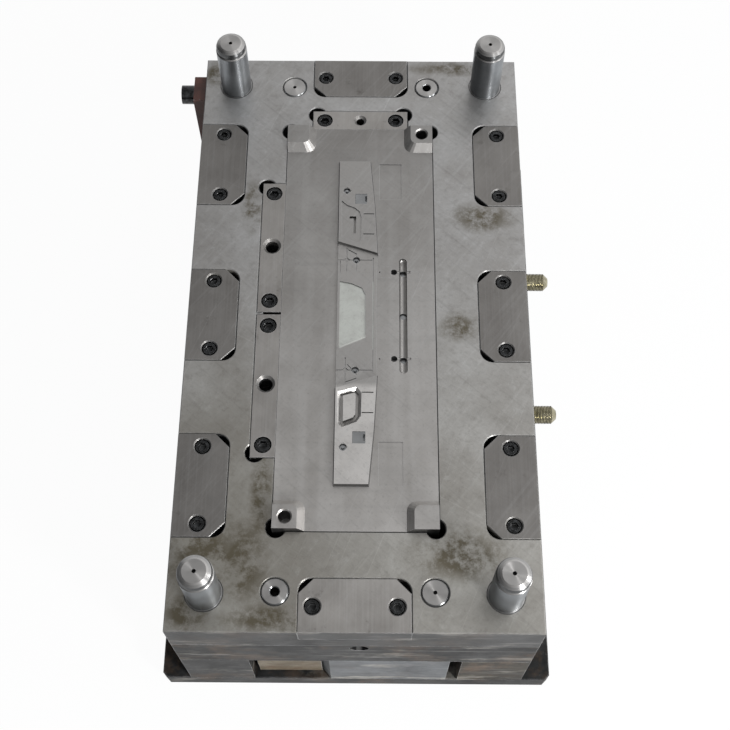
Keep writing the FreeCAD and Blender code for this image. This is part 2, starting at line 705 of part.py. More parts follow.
def pad_cut(mid):
    """Recess in the middle panel, its front wall slanted."""
    sides = [(8.8, -20), (8.4, 26), (4.3, 35), (-8, 41), (-22, 44)]
    low = [(-22, -46 + PAD_SLOPE), (8.8, -32 + PAD_SLOPE)] + sides
    high = [(-22, -46), (8.8, -32)] + sides
    return drafted(low, high, mid - PAD_D, mid)


def form_cuts():
    """Recesses and seams of the moulding face."""
    top = Z_PART + FORM_H
    mid = Z_PART + FORM_MID_H
    seam_z = mid - PAD_D
    ramp = [(-21.5, 155), (-14.6, 148.7), (-4.7, 144.6), (0.7, 139.3), (2.9, 131),
            (3, 100), (1.6, 96.2), (-2, 95.2), (-20.5, 103.5)]
    tools = [
        pad_cut(mid),
        prism(ramp, top - PAD_D, top),
        slot_box(-11.7, 131.5, -3.4, 131.5, SLOT_W, Z_PART, top),
        slot_box(-5.0, 132.6, -5.2, 108.6, SLOT_W, Z_PART, top),
        island_groove(top),
        slot_box(-22, 71, -21.8, 55, SEAM_W, seam_z, mid),
        slot_box(-2.5, 71, -2.4, 58, SEAM_W, seam_z, mid),
        slot_box(-12.9, 87.4, -2.3, 80.9, SEAM_W, seam_z, mid),
        slot_box(-11.9, -65.8, -1.2, -78.4, SEAM_W, seam_z, mid),
        slot_box(-13.4, -88.1, -1.2, -83.2, SEAM_W, seam_z, mid),
    ]
    for y in (136.0, 107.4, -102.3, -127.4):
        tools.append(box(5.3, FORM_RIGHT_MID - 0.5, y - SEAM_W / 2, y + SEAM_W / 2, top - SEAM_D, top))
    for side in (-1, 1):
        y = side * SLEEVE_MID[1]
        tools.append(box(FORM_LEFT, FORM_MID_RIGHT, y - SEAM_W / 3, y + SEAM_W / 3, seam_z, mid))
        tools.append(slot_box(BOSS_X, side * 57, BOSS_X, side * 90, SEAM_W, seam_z, mid))
        tools.append(diamond(BOSS_X, y, BOSS_R, seam_z, mid))
        tools.append(diamond(SLEEVE_MID[0], y, HALO_R, mid - HALO_D, mid))
        tools.append(diamond(SLEEVE_END[0], side * SLEEVE_END[1], HALO_R, top - HALO_D, top))
        tools.append(slot_box(FORM_MID_RIGHT, 0, FORM_MID_RIGHT, side * 76, SEAM_W, seam_z, mid))
        tools.append(cyl(VENT_R, VENT_X, side * GATE_Y, Z_PART - VENT_D, Z_PART))
    return tools


def shut_offs():
    """Shallow lands that the cavity half closes on, right of the form."""
    x0, x1 = LAND_X
    y0, y1 = LAND_Y
    return [box(x0, x1, y0, y1, Z_PART - LAND_D, Z_PART), box(x0, x1, -y1, -y0, Z_PART - LAND_D, Z_PART)]


def runner_cuts():
    tools = [cyl_y(RUNNER_R, RUNNER_X, -RUNNER_END, RUNNER_END, Z_PART)]
    for sy in (-1, 1):
        y = sy * GATE_Y
        tools.append(Part.makeSphere(RUNNER_R, V(RUNNER_X, sy * RUNNER_END, Z_PART)))
        tools.append(cyl_x(GATE_STUB_R, RUNNER_X - GATE_PIN_OFFSET, RUNNER_X + GATE_STUB, y, Z_PART))
    return tools


GATE_RIGHT_Y = 4.8      # right-hand gate inserts sit this much nearer the middle or the end


def gate_blank(x, y, w, l, grow):
    half_w = w / 2 + grow
    half_l = l / 2 + grow
    return box(x - half_w, x + half_w, y - half_l, y + half_l, Z_PART - GATE_T, Z_PART)


def gate_blanks(grow):
    left_x = RUNNER_X - GATE_PIN_OFFSET - RUNNER_PIN_R - GATE_LEFT_W / 2
    right_x = RUNNER_X + GATE_STUB + GATE_RIGHT_W / 2 - 4.5
    blanks = []
    for sy in (-1, 1):
        blanks.append(gate_blank(left_x, sy * GATE_Y, GATE_LEFT_W, GATE_LEFT_L, grow))
        blanks.append(gate_blank(right_x, sy * GATE_Y - GATE_RIGHT_Y, GATE_RIGHT_W, GATE_RIGHT_L, grow))
    return blanks


def gate_inserts():
    stubs = runner_cuts()
    solids = []
    for blank in gate_blanks(0.0):
        solids.append(blank.cut(stubs))
    return group(solids)


def core_insert():
    body = box(-INSERT_X, INSERT_X, -INSERT_Y, INSERT_Y, Z_CORE, Z_PART)
    panel = end_panel()
    body = body.cut(shut_offs())
    body = union(body, corner_locks() + [middle_panel(), panel, panel.mirror(V(0, 0, 0), V(0, 1, 0))])
    high = Z_PART + FORM_H
    tools = form_cuts() + runner_cuts() + gate_blanks(SEAT_GAP / 2)
    tools += [cyl(RUNNER_PIN_R + RUN_GAP, x, y, Z_CORE, Z_PART) for x, y in RUNNER_PIN_AT]
    tools.append(cyl(PULLER_R + RUN_GAP, RUNNER_X, 0, Z_CORE, Z_PART))
    tools += [cyl(SLEEVE_R + RUN_GAP, x, y, Z_CORE, high) for x, y in SLEEVE_AT]
    tools += [lifter_room(y, FLAT_GAP) for y in LIFT_AT.values()]
    tools += [thread_hole(M10, x, y, Z_CORE, Z_CORE + THREAD_L + 6) for x, y in INSERT_SCREW_AT]
    lock_x = INSERT_X - LOCK_SIZE / 2
    lock_y = INSERT_Y - LOCK_SIZE / 2
    for x, y in ((lock_x, lock_y), (-lock_x, -lock_y)):
        top = Z_PART + LOCK_H
        tools.append(cyl(LOCK_THREAD_R, x, y, top - LOCK_THREAD_DEPTH, top))
        tools.append(cone(LOCK_THREAD_R, LOCK_THREAD_R + 1.5, x, y, top - 1.5, top))
    return cut(body, tools)


# ================================================================== guide pins
def guide_pin(x, y):
    """Headed pin with a rounded end, a short guiding land, an oil groove and a straight shank."""
    top = Z_PART + GUIDE_REACH
    seat = Z_CORE + GUIDE_HEAD_T
    nose = top - GUIDE_NOSE_L
    profile = [
        (0, Z_CORE), (GUIDE_HEAD_R, Z_CORE), (GUIDE_HEAD_R, seat), (GUIDE_FIT_R, seat),
        (GUIDE_FIT_R, Z_PART), (GUIDE_R, Z_PART), (GUIDE_R, nose),
        (GUIDE_GROOVE_R, nose + 1), (GUIDE_GROOVE_R, nose + 2.5),
        (GUIDE_LAND_R, nose + 3.5), (GUIDE_LAND_R, nose + 6.5), (GUIDE_GROOVE_R, top - 2.6),
        (GUIDE_END_R + 2, top - 0.9), (GUIDE_END_R, top), (0, top),
    ]
    pin = revolved(profile, x, y)
    return pin.cut(cyl(CENTRE_DRILL_R, x, y, top - 4, top))


# ================================================================== lifters
def lifter_bar(side, y, z_low):
    """Square bar on the slanted axis, from z_low to above the moulding face."""
    top = Z_PART + FORM_H
    length = (top - z_low) / math.cos(math.radians(LIFT_ANGLE)) + 4 * side
    bar = Part.makeBox(side, side, length, V(-side / 2, -side / 2, 2 * side - length))
    bar.rotate(V(0, 0, 0), V(0, 1, 0), -LIFT_ANGLE)
    bar.translate(V(LIFT_X, y, top))
    return bar


def lifter_room(y, gap):
    return lifter_bar(LIFT_SIDE + 2 * gap, y, Z_SUPPORT)


def lifter_x(z):
    return LIFT_X + (Z_PART + FORM_H - z) * math.tan(math.radians(LIFT_ANGLE))


Z_FOOT = Z_RETAINER + 4.0
Z_FOOT_TOP = Z_EJECTOR_TOP + 3.0
Z_BAR_END = Z_RETAINER + 14.0


def lifter(y):
    top = Z_PART + FORM_H - LIFT_SINK
    bar = lifter_bar(LIFT_SIDE, y, Z_BAR_END)
    keep = box(-PLATE_W, PLATE_W, y - LIFT_SIDE, y + LIFT_SIDE, Z_BAR_END, top)
    right = LIFT_X + LIFT_SIDE / 2
    half = UNDERCUT_W / 2
    undercut = box(right - UNDERCUT_D, right + LIFT_SIDE, y - half, y + half, top - UNDERCUT_H, top)
    return bar.common(keep).cut(undercut)


def foot_x():
    return lifter_x(Z_BAR_END)


def lifter_foot(y):
    """T-shaped foot with a square socket for the bar."""
    x0 = foot_x() - FOOT_L / 2
    x1 = foot_x() + FOOT_L / 2
    flange = box(x0, x1, y - FOOT_W / 2, y + FOOT_W / 2, Z_FOOT, Z_FOOT + FOOT_T)
    neck = box(x0, x1, y - FOOT_NECK / 2, y + FOOT_NECK / 2, Z_FOOT + FOOT_T, Z_FOOT_TOP)
    socket = lifter_bar(LIFT_SIDE, y, Z_BAR_END).common(
        box(-PLATE_W, PLATE_W, y - LIFT_SIDE, y + LIFT_SIDE, Z_BAR_END, Z_PART))
    return union(flange, [neck]).cut(socket)


def shoe_blank(y):
    x = foot_x()
    return box(x - SHOE_L / 2, x + SHOE_L / 2, y - SHOE_W / 2, y + SHOE_W / 2, Z_RETAINER, Z_EJECTOR_TOP)


def lifter_shoe(y):
    """Slide rail for one lifter foot, open along X."""
    x = foot_x()
    g = FLAT_GAP
    x0 = x - SHOE_L / 2
    x1 = x + SHOE_L / 2
    low = box(x0, x1, y - FOOT_W / 2 - g, y + FOOT_W / 2 + g, Z_FOOT - g, Z_FOOT + FOOT_T + g)
    high = box(x0, x1, y - FOOT_NECK / 2 - g, y + FOOT_NECK / 2 + g, Z_FOOT + FOOT_T, Z_EJECTOR_TOP)
    return shoe_blank(y).cut([low, high])


def guide_block_blank(y):
    x = lifter_x(Z_SUPPORT + GUIDE_BLOCK_T / 2)
    h = GUIDE_BLOCK / 2
    return box(x - h, x + h, y - h, y + h, Z_SUPPORT, Z_SUPPORT + GUIDE_BLOCK_T)


def lifter_guide_block(y):
    return guide_block_blank(y).cut(lifter_room(y, FLAT_GAP))


# ================================================================== ejector set
def ejector_outline(z0, z1):
    """Ejector plate with its front right corner cut back round the front support block."""
    plate = box(-EJECTOR_X, EJECTOR_X, -EJECTOR_Y, EJECTOR_Y, z0, z1)
    left = FRONT_BLOCK_LEFT - NOTCH_ROOM
    block_back = FRONT_BLOCK_D - HALF_L
    notch = [(left + FRONT_BLOCK_SLANT, -HALF_L), (left, block_back), (left, block_back + NOTCH_ROOM),
             (EJECTOR_X, block_back + NOTCH_ROOM), (EJECTOR_X, -HALF_L)]
    return plate.cut(prism(notch, z0, z1))


def retainer_plate():
    plate = ejector_outline(Z_RETAINER, Z_EJECTOR_TOP)
    z0, z1 = Z_RETAINER, Z_EJECTOR_TOP
    tools = []
    for x, y in RETURN_AT.values():
        tools.append(cyl(RETURN_R + SEAT_GAP, x, y, z0, z1))
        tools.append(cyl(RETURN_HEAD_R + SEAT_GAP, x, y, z0, z0 + RETURN_HEAD_T))
    headed = [(RUNNER_PIN_R, x, y) for x, y in RUNNER_PIN_AT] + [(PULLER_R, RUNNER_X, 0.0)]
    headed += [(SLEEVE_R, x, y) for x, y in SLEEVE_AT]
    for r, x, y in headed:
        tools.append(cyl(r + SEAT_GAP, x, y, z0, z1))
        tools.append(cyl(r + PIN_HEAD_EDGE + SEAT_GAP, x, y, z0, z0 + PIN_HEAD_T))
    tools += [cyl(EJECT_GUIDE_R + RUN_GAP + BUSH_WALL + SEAT_GAP, x, y, z0, z1) for x, y in EJECT_GUIDE_AT]
    tools += [cyl(PILLAR_R + PILLAR_ROOM, x, y, z0, z1) for x, y in PILLAR_AT]
    tools += [thread_hole(M8, x, y, z0, z0 + THREAD_L) for x, y in EJECTOR_SCREW_AT]
    tools += [shoe_blank(y) for y in LIFT_AT.values()]
    return cut(plate, tools)


def base_plate():
    plate = ejector_outline(Z_BASE, Z_RETAINER)
    z0, z1 = Z_BASE, Z_RETAINER
    tools = [cyl(KNOCKOUT_THREAD_R, 0, 0, z0, z1)]
    tools += [cyl(CORE_PIN_R + RUN_GAP, x, y, z0, z1) for x, y in SLEEVE_AT]
    tools += [cyl(EJECT_GUIDE_R + RUN_GAP + BUSH_WALL + SEAT_GAP, x, y, z0, z1) for x, y in EJECT_GUIDE_AT]
    tools += [cyl(PILLAR_R + PILLAR_ROOM, x, y, z0, z1) for x, y in PILLAR_AT]
    tools += [screw_room_up(M8, x, y, z0, z1) for x, y in EJECTOR_SCREW_AT]
    return cut(plate, tools)


def return_pin(x, y, threaded):
    profile = [(0, Z_RETAINER), (RETURN_HEAD_R, Z_RETAINER), (RETURN_HEAD_R, Z_RETAINER + RETURN_HEAD_T),
               (RETURN_R, Z_RETAINER + RETURN_HEAD_T), (RETURN_R, Z_PART - RETURN_TIP),
               (RETURN_R - RETURN_TIP, Z_PART), (0, Z_PART)]
    pin = revolved(profile, x, y)
    if threaded:
        hole = cyl(RETURN_THREAD_R, x, y, Z_PART - RETURN_THREAD_DEPTH, Z_PART)
        return pin.cut(hole.fuse(cone(RETURN_THREAD_R, RETURN_THREAD_R + 1, x, y, Z_PART - 1, Z_PART)))
    return pin.cut(cyl(CENTRE_DRILL_R, x, y, Z_PART - 3, Z_PART))


def headed_pin(r, x, y, top):
    head = cyl(r + PIN_HEAD_EDGE, x, y, Z_RETAINER, Z_RETAINER + PIN_HEAD_T)
    return union(cyl(r, x, y, Z_RETAINER, top), [head])


def sleeve_top(y):
    face = Z_PART + (FORM_H if abs(y) > STEP_LEFT_Y else FORM_MID_H)
    return face - SLEEVE_SINK


def ejector_sleeve(x, y):
    body = headed_pin(SLEEVE_R, x, y, sleeve_top(y))
    return body.cut(cyl(CORE_PIN_R + RUN_GAP, x, y, Z_RETAINER, sleeve_top(y)))


def core_pin(x, y):
    """Still pin inside an ejector sleeve, its head in the clamp plate."""
    top = sleeve_top(y) + SLEEVE_SINK - 0.5
    pin = cyl(CORE_PIN_R, x, y, CORE_HEAD_Z, top)
    return union(pin, [cyl(CORE_HEAD_R, x, y, CORE_HEAD_Z, CORE_HEAD_Z + PIN_HEAD_T)])


def grub_screw(x, y):
    plug = cyl(CORE_HEAD_R, x, y, 0.5, CORE_HEAD_Z)
    socket = hex_prism(CORE_HEAD_R, 0, 4)
    socket.translate(V(x, y, 0))
    return plug.cut(socket)


def guide_bush(x, y):
    bore = EJECT_GUIDE_R + RUN_GAP
    return cyl(bore + BUSH_WALL, x, y, Z_BASE, Z_EJECTOR_TOP).cut(cyl(bore, x, y, Z_BASE, Z_EJECTOR_TOP))


def pillar(x, y):
    body = cyl(PILLAR_R, x, y, Z_SPACER, Z_SUPPORT)
    return body.cut(thread_hole(M10, x, y, Z_SPACER, Z_SPACER + THREAD_L + THREAD_RUN_OUT))


def stop_button(x, y):
    body = cyl(BUTTON_R, x, y, Z_SPACER, Z_BASE)
    return body.cut(cyl(BUTTON_R / 3, x, y, Z_BASE - 2, Z_BASE))


def front_support_block():
    """Upright block at the front, its left side slanting back on the plan."""
    front = -HALF_L
    back = front + FRONT_BLOCK_D
    plan = [(FRONT_BLOCK_LEFT + FRONT_BLOCK_SLANT, front), (FRONT_BLOCK_RIGHT, front),
            (FRONT_BLOCK_RIGHT, back), (FRONT_BLOCK_LEFT, back)]
    block = prism(plan, Z_SPACER, Z_SUPPORT)
    end = Z_SPACER + THREAD_L + THREAD_RUN_OUT
    return block.cut([thread_hole(M8, x, FRONT_BLOCK_Y, Z_SPACER, end) for x in FRONT_SCREW_X])


# ================================================================== outside
def water_fitting(y):
    """Male hose fitting: thread, hexagon, body and coned mouth, with its water way."""
    x0 = HALF_W
    profile = [(0, x0 - WATER_THREAD_L), (WATER_THREAD_R, x0 - WATER_THREAD_L), (WATER_THREAD_R, x0),
               (WATER_BODY_R, x0), (WATER_BODY_R, x0 + WATER_HEX_L + WATER_BODY_L),
               (WATER_MOUTH_R, x0 + WATER_HEX_L + WATER_BODY_L + WATER_CONE_L),
               (0, x0 + WATER_HEX_L + WATER_BODY_L + WATER_CONE_L)]
    body = revolved(profile, 0, 0)
    nut = hex_prism(WATER_HEX, x0, x0 + WATER_HEX_L)
    way = cyl(WATER_BORE_R, 0, 0, x0 - WATER_THREAD_L, x0 + WATER_HEX_L + WATER_BODY_L + WATER_CONE_L)
    fitting = union(body, [nut]).cut(way)
    fitting.rotate(V(0, 0, 0), V(0, 1, 0), 90)
    fitting.translate(V(0, y, WATER_Z))
    return fitting


def safety_strap():
    """Flat bar hung on its bolt, with a slot at the lower end for the other half's bolt."""
    x1 = -HALF_W - STRAP_SIDE_GAP
    x0 = x1 - STRAP_T
    top = STRAP_Z + STRAP_TOP
    bar = box(x0, x1, STRAP_Y - STRAP_W / 2, STRAP_Y + STRAP_W / 2, top - STRAP_L, top)
    slot_z = top - STRAP_L + STRAP_SLOT_UP
    bolt_hole = cyl_x(M16["shank"] + RUN_GAP, x0, x1, STRAP_Y, STRAP_Z)
    far_hole = cyl_x(STRAP_SLOT_R, x0, x1, STRAP_Y, slot_z)
    return cut(bar, [bolt_hole, far_hole])


def strap_bolt():
    bolt = cap_screw(M16, 0, 0, 0, STRAP_T + 2 * STRAP_SIDE_GAP + STRAP_THREAD - 2)
    bolt.rotate(V(0, 0, 0), V(0, 1, 0), -90)
    bolt.translate(V(-HALF_W - STRAP_T - 2 * STRAP_SIDE_GAP - M16["height"], STRAP_Y, STRAP_Z))
    return bolt


# ================================================================== all nodes
def build():
    nodes = {}
    nodes["clamp_plate"] = clamp_plate()
    nodes["spacer_block_left"] = spacer_block(-1)
    nodes["spacer_block_right"] = spacer_block(1)
    nodes["support_plate"] = support_plate()
    nodes["core_plate"] = core_plate()
    nodes["core_insert"] = core_insert()
    nodes["gate_inserts"] = gate_inserts()

    back = strip(BACK_STRIP_L, BACK_STRIP_W, BACK_SCREW_PITCH, BACK_JACK_R)
    side = strip(SIDE_STRIP_L, SIDE_STRIP_W, SIDE_SCREW_PITCH, JACK_R)
    nodes["wedge_strip_back"] = at_back(back)
    screws = [at_back(s) for s in strip_screws(BACK_STRIP_W, BACK_SCREW_PITCH)]
    for which in SIDE_STRIP_Y:
        nodes["wedge_strip_side_" + which] = at_side(side, which)
        screws += [at_side(s, which) for s in strip_screws(SIDE_STRIP_W, SIDE_SCREW_PITCH)]
    nodes["wedge_strip_screws"] = group(screws)

    block = parting_block()
    screws = []
    for place in BLOCK_PLACES:
        nodes["parting_block_" + place] = at_block(block, place)
        screws += [at_block(parting_block_screw(x), place) for x in block_screw_x()]
    nodes["parting_block_screws"] = group(screws)

    for place, (x, y) in GUIDE_AT.items():
        nodes["guide_pin_" + place] = guide_pin(x, y)
    for place, (x, y) in RETURN_AT.items():
        nodes["return_pin_" + place] = return_pin(x, y, place in ("back_right", "front_left"))

    nodes["clamp_screws"] = group([
        cap_screw_up(M16, x, y, SINK, Z_CORE + 2 * M16["shank"] + 4 - SINK - M16["height"])
        for x, y in CLAMP_SCREW_AT])
    nodes["core_insert_screws"] = group([
        cap_screw_up(M10, x, y, Z_SUPPORT + SINK, SUPPORT_T - SINK - M10["height"] + THREAD_L)
        for x, y in INSERT_SCREW_AT])
    nodes["plate_dowels"] = group([
        cyl(DOWEL_R, x, y, Z_SUPPORT - DOWEL_L / 2, Z_SUPPORT + DOWEL_L / 2) for x, y in DOWEL_AT])

    nodes["support_pillars"] = group([pillar(x, y) for x, y in PILLAR_AT])
    pillar_shank = CLAMP_T - SINK - M10["height"] + THREAD_L
    nodes["support_pillar_screws"] = group([
        cap_screw_up(M10, x, y, SINK, pillar_shank) for x, y in PILLAR_AT])
    nodes["front_support_block"] = front_support_block()
    front_shank = CLAMP_T - SINK - M8["height"] + THREAD_L
    nodes["front_block_screws"] = group([
        cap_screw_up(M8, x, FRONT_BLOCK_Y, SINK, front_shank) for x in FRONT_SCREW_X])

    nodes["stop_buttons"] = group([stop_button(x, y) for x, y in BUTTON_AT])
    nodes["stroke_limit_posts"] = group([
        cyl(BUTTON_R, x, y, Z_SUPPORT - LIMIT_T, Z_SUPPORT) for x, y in LIMIT_AT])
    nodes["ejector_guide_pins"] = group([
        cyl(EJECT_GUIDE_R, x, y, CLAMP_T - 15, Z_SUPPORT + 15) for x, y in EJECT_GUIDE_AT])
    nodes["sleeve_core_pins"] = group([core_pin(x, y) for x, y in SLEEVE_AT])
    nodes["core_pin_grub_screws"] = group([grub_screw(x, y) for x, y in SLEEVE_AT])
    nodes["lifter_guide_blocks"] = group([lifter_guide_block(y) for y in LIFT_AT.values()])

    nodes["ejector_retainer_plate"] = retainer_plate()
    nodes["ejector_base_plate"] = base_plate()
    ejector_shank = BASE_T - SINK - M8["height"] + THREAD_L - 4
    nodes["ejector_plate_screws"] = group([
        cap_screw_up(M8, x, y, Z_BASE + SINK, ejector_shank) for x, y in EJECTOR_SCREW_AT])
    nodes["runner_ejector_pins"] = group([
        headed_pin(RUNNER_PIN_R, x, y, Z_PART - RUNNER_PIN_SINK) for x, y in RUNNER_PIN_AT])
    nodes["runner_puller_pin"] = headed_pin(PULLER_R, RUNNER_X, 0, Z_PART - PULLER_SINK)
    nodes["ejector_sleeves"] = group([ejector_sleeve(x, y) for x, y in SLEEVE_AT])
    nodes["ejector_guide_bushes"] = group([guide_bush(x, y) for x, y in EJECT_GUIDE_AT])
    nodes["lifter_shoes"] = group([lifter_shoe(y) for y in LIFT_AT.values()])
    for which, y in LIFT_AT.items():
        nodes["lifter_bar_" + which] = lifter(y)
        nodes["lifter_foot_" + which] = lifter_foot(y)

    nodes["water_fitting_rear"] = water_fitting(WATER_Y)
    nodes["water_fitting_front"] = water_fitting(-WATER_Y)
    nodes["safety_strap"] = safety_strap()
    nodes["strap_bolt"] = strap_bolt()
    return nodes


def main():
    os.makedirs("parts", exist_ok=True)
    for name, shape in build().items():
        assert shape.isValid(), name
        shape.exportStep("parts/" + name + ".step")
        print(name, len(shape.Solids), round(shape.Volume))


main()
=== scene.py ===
"""Looks of the moving half of an injection mould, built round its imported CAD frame.

Metres, in the frame of the part: +X right, +Y back, +Z up, parting face up.
"""

import json
import math
import random

import bmesh
import bpy
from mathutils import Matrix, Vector

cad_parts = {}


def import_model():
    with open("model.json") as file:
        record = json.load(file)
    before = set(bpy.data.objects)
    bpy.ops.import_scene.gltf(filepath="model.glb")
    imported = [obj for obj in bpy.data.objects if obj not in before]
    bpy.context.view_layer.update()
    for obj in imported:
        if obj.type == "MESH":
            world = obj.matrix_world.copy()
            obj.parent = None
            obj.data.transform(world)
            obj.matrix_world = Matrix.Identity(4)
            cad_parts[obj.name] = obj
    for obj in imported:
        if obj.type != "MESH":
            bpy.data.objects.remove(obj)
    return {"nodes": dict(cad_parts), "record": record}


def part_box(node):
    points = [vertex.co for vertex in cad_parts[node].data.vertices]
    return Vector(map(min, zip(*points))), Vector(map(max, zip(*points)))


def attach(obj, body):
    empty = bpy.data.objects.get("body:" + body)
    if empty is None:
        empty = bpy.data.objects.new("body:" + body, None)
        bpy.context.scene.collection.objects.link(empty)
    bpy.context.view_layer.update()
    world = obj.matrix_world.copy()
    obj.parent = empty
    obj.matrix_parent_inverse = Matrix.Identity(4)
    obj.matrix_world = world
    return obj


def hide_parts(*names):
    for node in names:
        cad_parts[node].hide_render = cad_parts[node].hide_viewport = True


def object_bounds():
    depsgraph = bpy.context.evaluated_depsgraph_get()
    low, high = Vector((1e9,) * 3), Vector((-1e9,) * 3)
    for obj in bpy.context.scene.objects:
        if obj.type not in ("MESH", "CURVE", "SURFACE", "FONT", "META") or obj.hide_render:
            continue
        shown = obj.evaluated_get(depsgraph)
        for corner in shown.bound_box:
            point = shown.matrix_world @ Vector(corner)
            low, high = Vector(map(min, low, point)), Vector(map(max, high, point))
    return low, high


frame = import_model()
cad_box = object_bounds()
NODES = frame["nodes"]
MM = 0.001
rng = random.Random(7)
FLOOR_WHITE = 0.96                  # share of plain white in the floor for rays that show it
BRIGHT_SIDE = (0.75, 0.66, 0.0)     # horizon that the windows are on
SKY_TO_RIGHT = 1.5      # how much brighter the sky gets towards +X

# ------------------------------------------------------------------ levels read from the frame
PLATE_LOW, PLATE_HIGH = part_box("core_plate")
PARTING_Z = PLATE_HIGH.z
INSERT_LOW, INSERT_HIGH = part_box("core_insert")


PIN_TOP = cad_box[1].z
PIN_HOLE = 0.155            # hole in a pin's end, as a share of the pin's widest diameter
NOSE_LENGTH = 12.5 * MM     # rounded lead of a guide pin, above its shank


# ================================================================== shader graphs
class Graph:
    """A material's node tree with short calls for the nodes used here."""

    def __init__(self, name):
        self.mat = bpy.data.materials.new(name)
        self.mat.use_nodes = True
        self.tree = self.mat.node_tree
        self.tree.nodes.clear()
        self.out = self.tree.nodes.new("ShaderNodeOutputMaterial")
        self.shader = self.tree.nodes.new("ShaderNodeBsdfPrincipled")
        self.tree.links.new(self.shader.outputs[0], self.out.inputs[0])
        self.coord = self.tree.nodes.new("ShaderNodeTexCoord").outputs["Object"]
        self.geometry = self.tree.nodes.new("ShaderNodeNewGeometry")

    def add(self, kind, out=0, **settings):
        node = self.tree.nodes.new("ShaderNode" + kind)
        for key, value in settings.items():
            setattr(node, key, value)
        return node, node.outputs[out]

    def plug(self, socket, value):
        if isinstance(value, bpy.types.NodeSocket):
            self.tree.links.new(value, socket)
        else:
            socket.default_value = value

    def calc(self, operation, a, b=0.0, clamp=False):
        node, out = self.add("Math", operation=operation, use_clamp=clamp)
        self.plug(node.inputs[0], a)
        self.plug(node.inputs[1], b)
        return out

    def vector(self, operation, a, b=(0.0, 0.0, 0.0)):
        node, out = self.add("VectorMath", operation=operation)
        self.plug(node.inputs[0], a)
        self.plug(node.inputs[1], b)
        return out

    def blend(self, share, a, b):
        node, _ = self.add("Mix", data_type="RGBA")
        self.plug(node.inputs[0], share)
        self.plug(node.inputs[6], a)
        self.plug(node.inputs[7], b)
        return node.outputs[2]

    def fade(self, value, low, high, start=0.0, end=1.0):
        """Maps value from low..high onto start..end, held at both ends."""
        node, out = self.add("MapRange")
        self.plug(node.inputs[0], value)
        node.inputs[1].default_value = low
        node.inputs[2].default_value = high
        node.inputs[3].default_value = start
        node.inputs[4].default_value = end
        return out

    def place(self, scale=(1.0, 1.0, 1.0), turn=0.0, shift=(0.0, 0.0, 0.0)):
        node, out = self.add("Mapping")
        self.plug(node.inputs[0], self.coord)
        node.inputs[1].default_value = shift
        node.inputs[2].default_value = (0.0, 0.0, math.radians(turn))
        node.inputs[3].default_value = scale
        return out

    def noise(self, scale, detail=3.0, rough=0.55, at=None):
        node, out = self.add("TexNoise")
        self.plug(node.inputs["Vector"], at if at is not None else self.coord)
        node.inputs["Scale"].default_value = scale
        node.inputs["Detail"].default_value = detail
        node.inputs["Roughness"].default_value = rough
        return out

    def turned(self, degrees, scale, shift=(0.0, 0.0, 0.0)):
        """Object coordinates turned about Z, then scaled along the turned axes."""
        spin, out = self.add("VectorRotate", rotation_type="Z_AXIS")
        self.plug(spin.inputs["Vector"], self.coord)
        spin.inputs["Angle"].default_value = math.radians(degrees)
        node, placed = self.add("Mapping")
        self.plug(node.inputs[0], out)
        node.inputs[1].default_value = shift
        node.inputs[3].default_value = scale
        return placed

    def streaks(self, degrees, across, along, detail=2.0, shift=(0.0, 0.0, 0.0)):
        """Fine lines: noise stretched along one direction of the plan, turned by some degrees."""
        return self.noise(1.0, detail, 0.6, self.turned(degrees, (across, along, across * 0.5), shift))

    def spot(self, x, y, radius_x, radius_y, soft=0.45):
        """1 inside an oval on the plan, falling to 0 outside, with a ragged edge."""
        parts = self.tree.nodes.new("ShaderNodeSeparateXYZ")
        self.plug(parts.inputs[0], self.coord)
        dx = self.calc("DIVIDE", self.calc("SUBTRACT", parts.outputs[0], x), radius_x)
        dy = self.calc("DIVIDE", self.calc("SUBTRACT", parts.outputs[1], y), radius_y)
        far = self.calc("SQRT", self.calc("ADD", self.calc("MULTIPLY", dx, dx), self.calc("MULTIPLY", dy, dy)))
        ragged = self.calc("ADD", far, self.calc("MULTIPLY", self.noise(28.0, 4.0, 0.65), 0.9))
        return self.fade(ragged, 1.45 + soft, 1.45 - soft)

    def xyz(self):
        """The three object coordinates."""
        parts = self.tree.nodes.new("ShaderNodeSeparateXYZ")
        self.plug(parts.inputs[0], self.coord)
        return parts.outputs

    def upward(self, low=0.55, high=0.9):
        """1 on faces that look up, 0 on upright ones."""
        parts = self.tree.nodes.new("ShaderNodeSeparateXYZ")
        self.tree.links.new(self.geometry.outputs["True Normal"], parts.inputs[0])
        return self.fade(parts.outputs[2], low, high)

    def scaled(self, colour, factor):
        """Colour times a grey factor."""
        node, _ = self.add("VectorMath", operation="SCALE")
        self.plug(node.inputs[0], colour)
        self.plug(node.inputs["Scale"], factor)
        return node.outputs[0]

    def tinted(self, colour, tint):
        """Colour times another colour."""
        return self.vector("MULTIPLY", colour, tint)

    def inside(self, value, low, high, soft=0.0008):
        """1 while value lies between low and high."""
        rise = self.fade(value, low - soft, low + soft)
        fall = self.fade(value, high + soft, high - soft)
        return self.calc("MULTIPLY", rise, fall)

    def turned_finish(self, amount=0.8):
        """Circular machining marks about the piece's own upright axis."""
        tangent = self.tree.nodes.new("ShaderNodeTangent")
        tangent.direction_type = "RADIAL"
        tangent.axis = "Z"
        self.plug(self.shader.inputs["Tangent"], tangent.outputs[0])
        self.plug(self.shader.inputs["Anisotropic"], amount)
        self.plug(self.shader.inputs["Anisotropic Rotation"], 0.25)

    def worn_and_painted_highlight_edge(self, radius, share):
        """Bright edges, partly real wear and partly painted highlight, rubbed bright in some places and dull in
        others.
        """
        patchy = self.fade(self.noise(55.0, 5.0, 0.7), 0.40, 0.62, 0.15, share)
        return self.calc("MULTIPLY", self.edge(radius), patchy)

